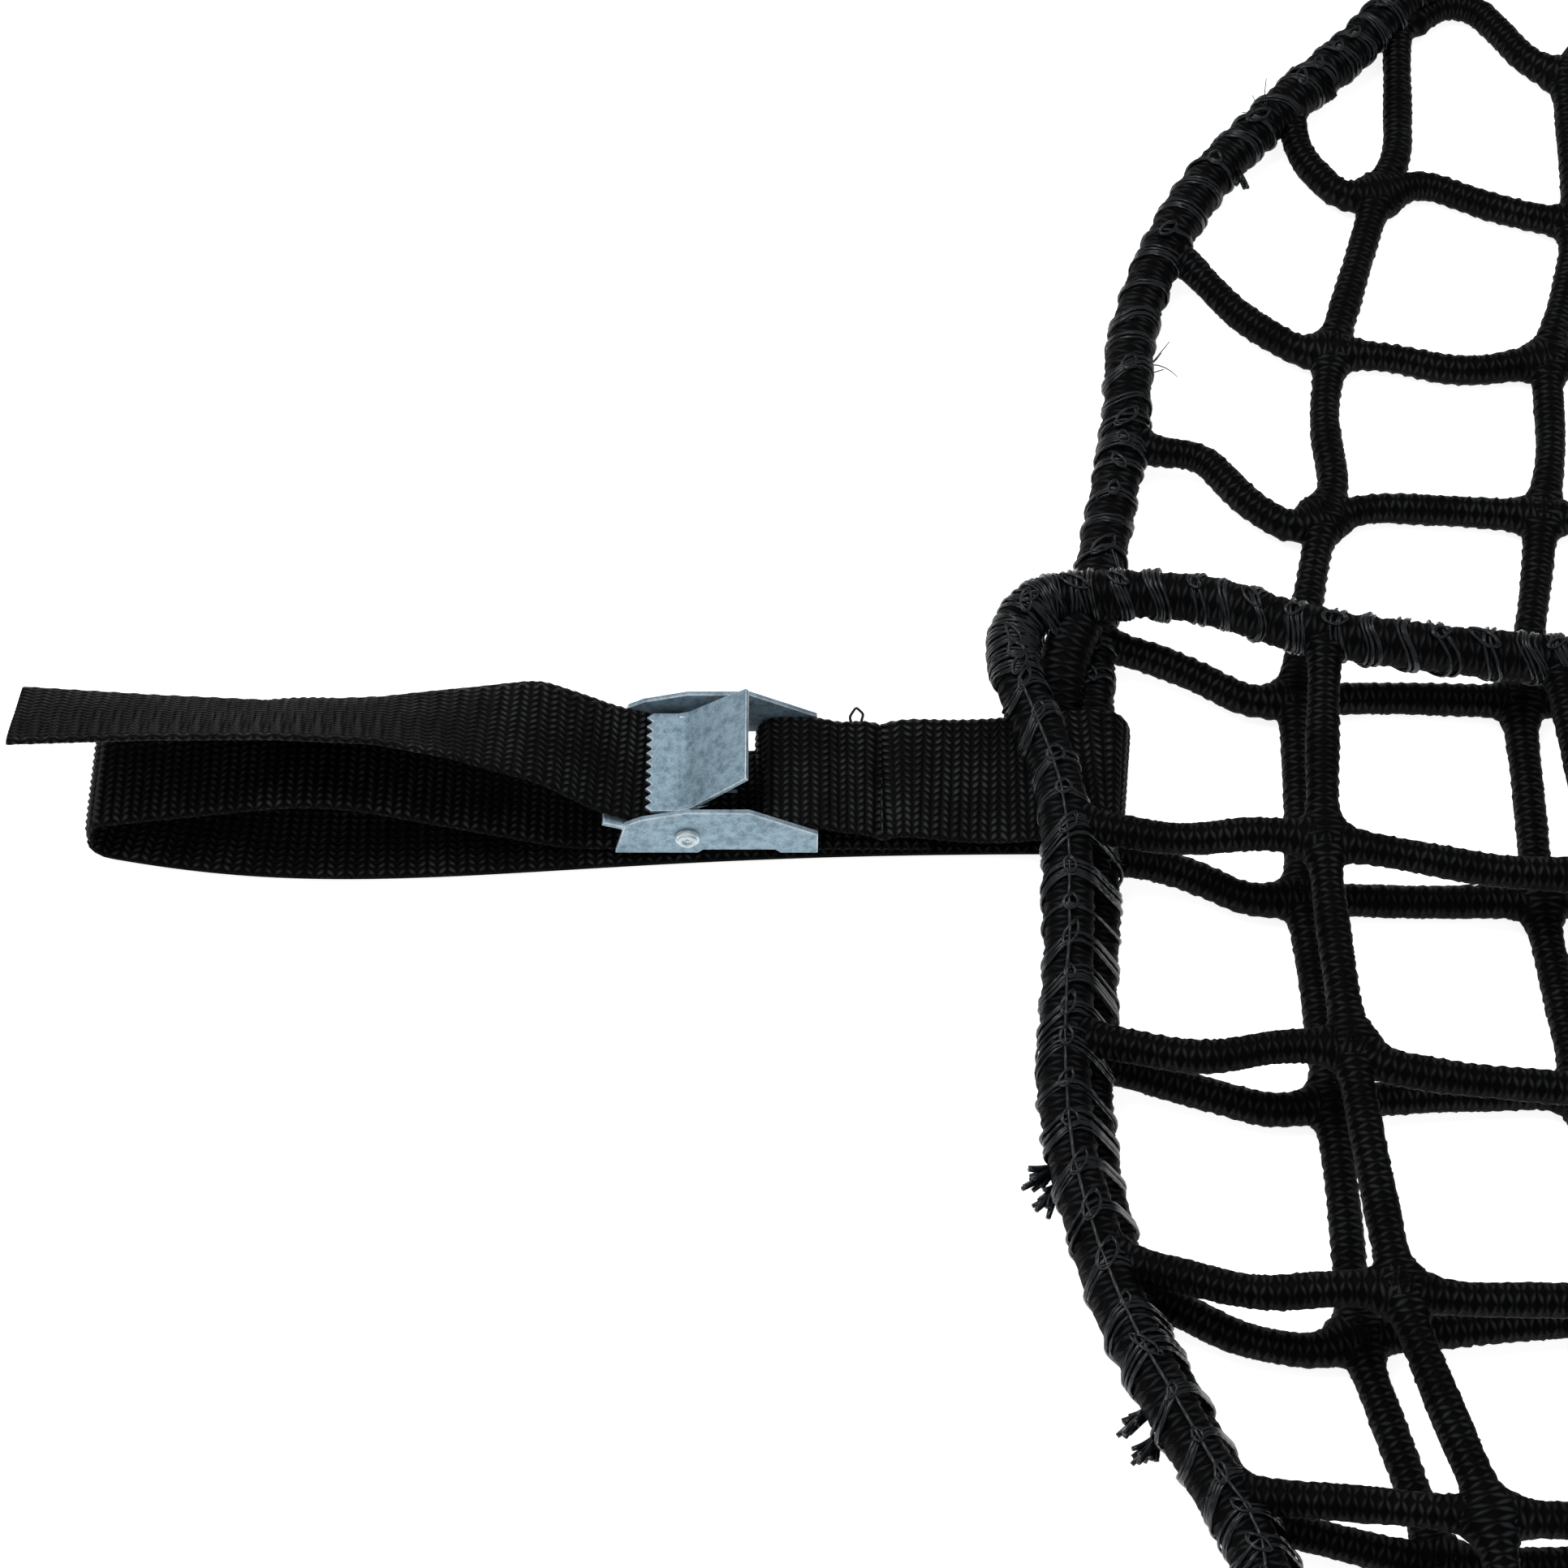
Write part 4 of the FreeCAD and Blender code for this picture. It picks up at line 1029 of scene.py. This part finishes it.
def wrap_loop(centre, ahead, other, radius, lean, jitter, steps=30):
    """One wrap round a rope, or round two ropes that lie together, from below over the top and back."""
    side = unit(np.cross(UP, ahead))
    up = np.cross(ahead, side)
    second = None
    if other is not None:
        gap = other - centre
        second = np.array((gap @ side, gap @ up))
    points = []
    for k in range(steps + 1):
        turn = -math.pi + 2 * math.pi * k / steps
        normal = np.array((math.sin(turn), math.cos(turn)))
        base = second if second is not None and second @ normal > 0 else np.zeros(2)
        flat = base + normal * radius
        drop = -(lean[0] if turn > 0 else lean[1]) * abs(math.sin(turn)) + jitter * math.sin(2 * turn)
        points.append(centre + side * flat[0] + up * flat[1] + ahead * drop)
    return np.array(points)


def resampled(points, step):
    along = lengths(points)
    count = max(3, int(along[-1] / step))
    where = np.linspace(0, along[-1], count + 1)
    return np.stack([np.interp(where, along, points[:, k]) for k in range(3)], axis=1), where


def smoothed(path, rounds=2):
    for _ in range(rounds):
        path = np.concatenate([path[:1], (path[:-2] + 2 * path[1:-1] + path[2:]) / 4, path[-1:]])
    return path


def strand(shell, points, radius, corners=6, step=1.1, side=None, flat=1.0):
    path, where = resampled(np.asarray(points), step)
    path = smoothed(path)
    shell.sweep(path, axes_along(path, side), circle(len(path), corners, radius * flat, radius), 1.0, where)


def partner_of(other_path, centre, span):
    """The place on another rope that lies close enough to be wrapped together, or None."""
    if other_path is None:
        return None
    gaps = np.linalg.norm(other_path[:, :2] - centre[:2], axis=1)
    nearest = other_path[gaps.argmin()]
    clear_of_strap = abs(centre[1] - STRAP_Y) > WEB_W / 2 + 1.5
    together = np.linalg.norm(nearest - centre) < ROPE_D * span
    return nearest if together and clear_of_strap else None


def wrap_bundle(shell, centre, forward, partner, radius, chance, lean, straight, close):
    """A few wraps side by side, or out of the close view one flat wrap that stands for them."""
    count = chance.choice((3, 4, 4, 5, 6)) if close else 1
    jitter = chance.uniform(-1.2, 1.2) * straight
    slope = [(value + chance.uniform(-most, most)) * straight for value, most in zip(lean, (1.5, 1.2))]
    for k in range(count):
        stray = chance.random() < STRAY_SHARE
        offset = (k - (count - 1) / 2) * radius * 1.5 + chance.uniform(-0.25, 0.25)
        offset += chance.uniform(-STRAY_REACH, STRAY_REACH) if stray else 0
        lift = ROPE_R + radius * (0.6 + 1.5 * chance.random())
        tilt = [value + chance.uniform(-most, most) for value, most in zip(slope, (0.8, 0.7))]
        loop = wrap_loop(centre + forward * offset, forward, partner, lift, tilt, jitter)
        if close:
            thickness = radius * chance.uniform(0.7, 1.15)
            strand(shell, loop, thickness, corners=5, step=1.4, side=forward, flat=1.1)
        else:
            strand(shell, loop, radius * 2.0, corners=6, step=2.4, side=forward, flat=1.8)


def wraps_along(shell, route, other, pitch, radius, chance, keep, lean=(5.0, 2.0), ridge=False, span=1.5):
    """Wraps along a rope, with the hitches and the strand that run from wrap to wrap along its top."""
    path, where = resampled(rounded(route), 0.5)
    ahead = unit(np.gradient(path, axis=0))
    other_path = rounded(other) if other is not None else None
    spine = []
    at = pitch / 2
    while at < where[-1]:
        here = int(at / where[-1] * (len(path) - 1))
        centre, forward = path[here], ahead[here]
        at += pitch * chance.uniform(0.75, 1.25)
        if not keep(centre):
            if len(spine) > 2:
                strand(shell, spine, radius)
            spine = []
            continue
        partner = partner_of(other_path, centre, span)
        bend = np.linalg.norm(ahead[min(here + 12, len(path) - 1)] - ahead[max(here - 12, 0)])
        close = in_close_view(centre[None])[0] > 0.5
        # wraps lean less where the rope bends, so that they don't cross there
        straight = 1 / (1 + 3 * bend)
        wrap_bundle(shell, centre, forward, partner, radius, chance, lean, straight, close)
        side = unit(np.cross(UP, forward))
        up = np.cross(forward, side)
        top = centre + up * (ROPE_R + radius * 2.4)
        if ridge:
            spine.append(top + side * chance.uniform(-0.8, 0.8) + forward * 0.8 - up * chance.uniform(0, 0.5))
        if close and (ridge or chance.random() < HITCH_SHARE):
            hitch(shell, top, forward, side, up, radius, chance)
    if len(spine) > 2:
        strand(shell, spine, radius)


def hitch(shell, top, forward, side, up, radius, chance):
    """The open loop that a wrap leaves where it passes back under itself."""
    long, wide = chance.uniform(1.6, 3.2), chance.uniform(0.9, 1.7)
    lean = chance.uniform(-0.7, 0.7)
    for _ in range(2):
        ring = []
        for k in range(15):
            turn = 2 * math.pi * k / 14
            across = wide * math.sin(turn) + lean * long * math.cos(turn)
            ring.append(top + forward * long * math.cos(turn) + side * across - up * 0.12 * across * across)
        strand(shell, ring, radius * 0.8, corners=5, step=0.8)
        long, wide, lean = long * 0.8, wide * 1.2, lean + chance.uniform(-0.2, 0.2)


def tuft(shell, root, towards, count, length, chance, radius=0.09):
    """Frayed filaments that stand out from one place. Thick ones are cut strands, which keep together."""
    towards = unit(np.asarray(towards, float))
    fan = 0.5 if radius < 0.5 else 0.28
    for _ in range(count):
        heading = unit(towards + np.array([chance.uniform(-fan, fan) for _ in range(3)]))
        curl = np.array([chance.uniform(-fan, fan) for _ in range(3)])
        reach = length * chance.uniform(0.5, 1.1)
        start = np.asarray(root, float)
        points = [start + heading * reach * t + curl * reach * t * t for t in (0, 0.25, 0.5, 0.75, 1)]
        path, where = resampled(np.array(points), 0.7)
        taper = np.linspace(1, 0.6, len(path)) * radius
        shell.sweep(path, axes_along(path), circle(len(path), 6, taper, taper), 1.0, where)


# cut and frayed ends of the twine: (root, direction, filaments, length in mm, filament radius)
LOWER_ENDS = [
    ((90.5, 152, 7), (5, -2, 1), 7, 5.0, 0.75), ((94, 149, 7), (1, -4, 0), 6, 4.5, 0.7),
    ((73, 97, 7), (4, 2, 1.5), 3, 5.5, 0.14), ((69, 92, 7.5), (4, 3, 1), 3, 4.5, 0.16),
    ((62, 60, 10), (-3, 1, 2), 3, 3.5, 0.12), ((100.5, 163, 9), (-3, 3, 1), 4, 6.5, 0.14),
]
UPPER_ENDS = [
    ((47.5, -88, 11), (-5, -3, 0.5), 15, 6.6, 0.8), ((47, -91, 10), (-3.5, -5, 0), 14, 6.6, 0.75),
    ((61, -134, 11), (-5, -3, 0.5), 15, 6.6, 0.8), ((62, -138, 10), (-3.5, -5, 0), 14, 6.8, 0.75),
    ((58, -22, 17), (4, -0.5, -1), 4, 4.0, 0.1), ((58, -28, 16), (4, 1, 0), 4, 3.5, 0.1),
    ((57, -62, 14), (4, 0.5, 0), 4, 3.5, 0.1), ((66, -112, 13), (4, 2, 0), 4, 3.5, 0.1),
    ((63, 34, 20), (-0.5, 4, 2), 4, 4.0, 0.14), ((46, 6, 21), (-4, 1, 0), 3, 3.0, 0.12),
]


def add_ends(shell, ends, chance):
    for root, towards, count, length, radius in ends:
        tuft(shell, root, towards, count, length, chance, radius)


def build_lashing(context):
    settings = context.scene.cargo_net_net
    pitch, radius = settings.wrap_pitch / MM, settings.twine_radius / MM
    material = finish("waxed_multifilament_twine")
    chance = random.Random(4471)

    def clear(place):
        return all(abs(place[1] - strap) > WEB_W / 2 + 1.5 for strap in (STRAP_Y, FAR_STRAP_Y))

    def single(place):
        return clear(place) and (place[1] > 12 or place[1] < -200)

    shell = Shell()
    wraps_along(shell, LOWER_LEFT, None, pitch * 0.8, radius, chance, single, (2.0, -1.0))
    add_ends(shell, LOWER_ENDS, chance)
    wraps_along(shell, FAR_ROUTE, None, pitch * 1.2, radius, chance, clear)
    wraps_along(shell, LOWER_RIGHT, None, pitch * 1.2, radius, chance, single)
    shell.build("border_lashing_lower", material, nodes=["edge_lashing_lower"])
    shell = Shell()
    wraps_along(
        shell, UPPER_LEFT, LOWER_LEFT, pitch * 0.9, radius, chance, lambda place: True, (4.5, 1.0), True)
    wraps_along(shell, NEAR_ROUTE, None, pitch * 0.72, radius, chance, lambda place: True, (-1.5, -4.5))
    wraps_along(
        shell, NEAR_LEFT[:5], LOWER_LEFT, 3.2, radius, chance, lambda place: place[0] < 56, (1.0, 1.0),
        span=1.9)
    add_ends(shell, UPPER_ENDS, chance)
    wraps_along(shell, UPPER_RIGHT, LOWER_RIGHT, pitch * 1.2, radius, chance, lambda place: True)
    shell.build("border_lashing_upper", material, nodes=["edge_lashing_upper"])


def build_webbing(context):
    material = finish("woven_polypropylene_webbing")
    thread = finish("bonded_sewing_thread")
    for name in STRAPS:
        place, turned = strap_place(name)
        shell = Shell()
        webbing_shell(shell, place, turned, name == "near_left")
        shell.build("strap_%s_weave" % name, material, nodes=["strap_%s_webbing" % name])
        build_stitches(name, place, turned, thread)


def build_stitches(name, place, turned, material):
    """A row of lockstitches across the sewn end, sunk into the upper band."""
    shell = Shell()
    count, flip = 9, -1 if turned else 1
    pitch = (WEB_W - 2.4) / count
    line = webbing_line()
    near = line[(lengths(line) > 60) & (lengths(line) < 100)]
    top = near[np.abs(near[:, 0] - STITCH_X).argmin()][2] + 2.2 + WEB_T / 2 - 0.7
    for k in range(count):
        y = -(WEB_W - 2.4) / 2 + (k + 0.5) * pitch
        shares = (-0.46, -0.3, -0.12, 0.12, 0.3, 0.46)
        points = [(STITCH_X, y + pitch * t, top - 1.1 * (2 * t) ** 4) for t in shares]
        points = np.array(points) * (flip, flip, 1) + place
        strand(shell, points, 0.32, corners=8, step=0.4)
    if name == "near_left":
        edge = np.array((STITCH_X - 5, WEB_W / 2 - 0.6, top + 0.6))
        shape = (
            (0, -1, -0.4), (-0.8, 1.2, 1.2), (0.4, 2.6, 2.4), (1.8, 1.6, 1.6), (1.2, 0, 0.4), (2.4, -1, 0.2))
        strand(shell, np.array(shape) + edge + place, 0.28, corners=6, step=0.3)
    shell.build("strap_%s_stitches" % name, material, nodes=["strap_%s_stitching" % name])


def select_none():
    bpy.ops.object.select_all(action="DESELECT")


def select_only(piece):
    select_none()
    piece.select_set(True)
    bpy.context.view_layer.objects.active = piece


def refined_copy(node, name, material, bevel, body):
    """A copy of a packed metal part, its flat faces made whole and its edges rounded, in a brighter zinc that
    is painted highlight along with rubbed wear.
    """
    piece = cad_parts[node].copy()
    piece.data = piece.data.copy()
    piece.name = name
    piece.data.materials.clear()
    for finish_name in (material, "highlit_worn_zinc_edge"):
        piece.data.materials.append(finish(finish_name))
    bpy.context.scene.collection.objects.link(piece)
    select_only(piece)
    bpy.ops.object.mode_set(mode="EDIT")
    bpy.ops.mesh.select_all(action="SELECT")
    bpy.ops.mesh.remove_doubles(threshold=1e-6)
    bpy.ops.mesh.dissolve_limited(angle_limit=math.radians(1.0))
    bpy.ops.object.mode_set(mode="OBJECT")
    edge = piece.modifiers.new("edge", "BEVEL")
    edge.width = bevel * MM
    edge.segments = 2
    edge.limit_method = "ANGLE"
    edge.angle_limit = math.radians(40)
    edge.use_clamp_overlap = False
    # the rounded edges take the brighter zinc: painted highlight along with rubbed wear
    edge.material = 1
    bpy.ops.object.modifier_apply(modifier=edge.name)
    bpy.ops.object.shade_smooth_by_angle(angle=math.radians(35))
    return finish_piece(piece, body, [node])


def build_buckles(context):
    zinc, bright = "blue_passivated_zinc", "highlit_worn_zinc_edge"
    for name in STRAPS:
        for node, piece, material, bevel, body in (
            ("buckle_frame", "pressed_frame", zinc, 0.17, "net"),
            ("cam_lever", "toothed_lever", zinc, 0.15, "cam_" + name),
            # the whole rivet takes the brighter zinc: painted highlight along with rubbed wear
            ("axle_rivet", "peened_rivet", bright, 0.15, "net"),
        ):
            prefix = "strap_%s_" % name
            refined_copy(prefix + node, prefix + piece, material, bevel, body)
        # the rivet rims and dimples take the same brighter zinc: painted highlight along with rubbed wear
        add_peened_rings(name, finish(bright))
        build_spring(name, finish("drawn_spring_wire"))


def add_peened_rings(name, material):
    """The rolled rim and the dimple of each rivet head, joined to the rivet's two ends."""
    low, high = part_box("strap_%s_axle_rivet" % name)
    middle = [(a + b) / 2 for a, b in zip(low, high)]
    head = (high[2] - low[2]) / 2
    for end, y in (("near", low[1]), ("far", high[1])):
        select_none()
        bpy.ops.mesh.primitive_torus_add(
            major_segments=40, minor_segments=12, major_radius=head * 0.62, minor_radius=head * 0.24,
            location=(middle[0], y, middle[2]), rotation=(math.pi / 2, 0, 0))
        ring = bpy.context.active_object
        ring.name = "strap_%s_rivet_rim_%s" % (name, end)
        select_none()
        bpy.ops.mesh.primitive_uv_sphere_add(segments=20, ring_count=10, radius=head * 0.16,
                                             location=(middle[0], y, middle[2]))
        ring.select_set(True)
        bpy.context.view_layer.objects.active = ring
        bpy.ops.object.join()
        bpy.ops.object.transform_apply(location=True, rotation=True, scale=True)
        bpy.ops.object.shade_smooth()
        ring.data.materials.clear()
        ring.data.materials.append(material)
        finish_piece(ring, "net")


def build_spring(name, material):
    """A torsion spring: seven turns round the axle with a leg at each end."""
    place, turned = strap_place(name)
    flip = -1 if turned else 1
    x, z = AXLE
    radius = AXLE_D / 2 + 0.1 + SPRING_WIRE_R
    turns, pitch = SPRING_TURNS, SPRING_PITCH
    points = []
    first = -turns * pitch / 2
    points.append((x + 9.0, first, z - radius - 0.9))
    steps = turns * 18
    for k in range(steps + 1):
        angle = -math.pi / 2 - 2 * math.pi * (turns + 0.5) * k / steps
        y = first + turns * pitch * k / steps
        points.append((x + radius * math.cos(angle), y, z + radius * math.sin(angle)))
    points.append((x - 4.2, turns * pitch / 2, z + CAM_UP - CAM_T / 2 - 0.6))
    shell = Shell()
    path = np.array(points) * (flip, flip, 1) + place
    path, where = resampled(path, 0.4)
    wire = circle(len(path), 10, SPRING_WIRE_R, SPRING_WIRE_R)
    shell.sweep(path, axes_along(path, (0.0, 1.0, 0.0)), wire, 1.0, where)
    shell.build("strap_%s_spring" % name, material, nodes=["strap_%s_cam_spring" % name])


def build_stage(context):
    settings = context.scene.cargo_net_stage
    select_none()
    bpy.ops.mesh.primitive_plane_add(size=80, location=(0, 0, -0.0004))
    floor = context.active_object
    floor.name = "studio_floor"
    material, _, shader = new_material("matt_white_board")
    shader.inputs["Base Color"].default_value = linear("#f3f3f3")
    shader.inputs["Roughness"].default_value = 0.9
    shader.inputs["Specular IOR Level"].default_value = 0.1
    shader.inputs["Emission Color"].default_value = linear("#ffffff")
    shader.inputs["Emission Strength"].default_value = settings.floor_glow
    floor.data.materials.append(material)

    world = bpy.data.worlds.new("white_room")
    world.use_nodes = True
    background = next(n for n in world.node_tree.nodes if n.type == "BACKGROUND")
    background.inputs["Color"].default_value = linear("#ffffff")
    background.inputs["Strength"].default_value = settings.world_strength
    context.scene.world = world
    target = (ORIGIN * MM).tolist()
    for name, offset, size, power in (
        ("key_softbox", (-0.35, 0.25, 1.1), 0.9, settings.key_power),
        ("front_softbox", (0.5, -1.0, 0.8), 0.8, settings.key_power * 0.12),
    ):
        light = bpy.data.lights.new(name, "AREA")
        light.shape = "DISK"
        light.size = size
        light.energy = power
        lamp = bpy.data.objects.new(name, light)
        context.scene.collection.objects.link(lamp)
        lamp.location = [t + o for t, o in zip(target, offset)]
        lamp.rotation_euler = aim(offset)

    camera = bpy.data.cameras.new("camera")
    camera.sensor_width = 36
    camera.lens = camera.sensor_width / 2 / math.tan(settings.field / 2)
    camera.clip_start, camera.clip_end = 0.01, 200
    holder = bpy.data.objects.new("camera", camera)
    context.scene.collection.objects.link(holder)
    back, rise = math.cos(settings.elevation), math.sin(settings.elevation)
    offset = (0.0, -settings.distance * back, settings.distance * rise)
    holder.location = [t + o for t, o in zip(target, offset)]
    holder.rotation_euler = aim(offset)
    context.scene.camera = holder
    context.scene.view_settings.view_transform = "Standard"


def aim(offset):
    """The turn that points a lamp or camera from offset back at its target."""
    return (-Vector(offset)).to_track_quat("-Z", "Y").to_euler()


GROUPS = (CARGO_NET_PG_net, CARGO_NET_PG_finish, CARGO_NET_PG_stage)
OPERATORS = (
    CARGO_NET_OT_rows, CARGO_NET_OT_columns, CARGO_NET_OT_ropes, CARGO_NET_OT_lashing, CARGO_NET_OT_webbing,
    CARGO_NET_OT_buckles, CARGO_NET_OT_stage,
)


def register():
    for item in GROUPS + OPERATORS + (CARGO_NET_PT_panel,):
        bpy.utils.register_class(item)
    for group in GROUPS:
        name = "cargo_net_" + group.__name__.rsplit("_", 1)[1]
        setattr(bpy.types.Scene, name, bpy.props.PointerProperty(type=group))


def unregister():
    for group in GROUPS:
        delattr(bpy.types.Scene, "cargo_net_" + group.__name__.rsplit("_", 1)[1])
    for item in reversed(GROUPS + OPERATORS + (CARGO_NET_PT_panel,)):
        bpy.utils.unregister_class(item)


def main():
    register()
    for operator in OPERATORS:
        group, name = operator.bl_idname.split(".")
        getattr(getattr(bpy.ops, group), name)()


if __name__ == "__main__":
    main()
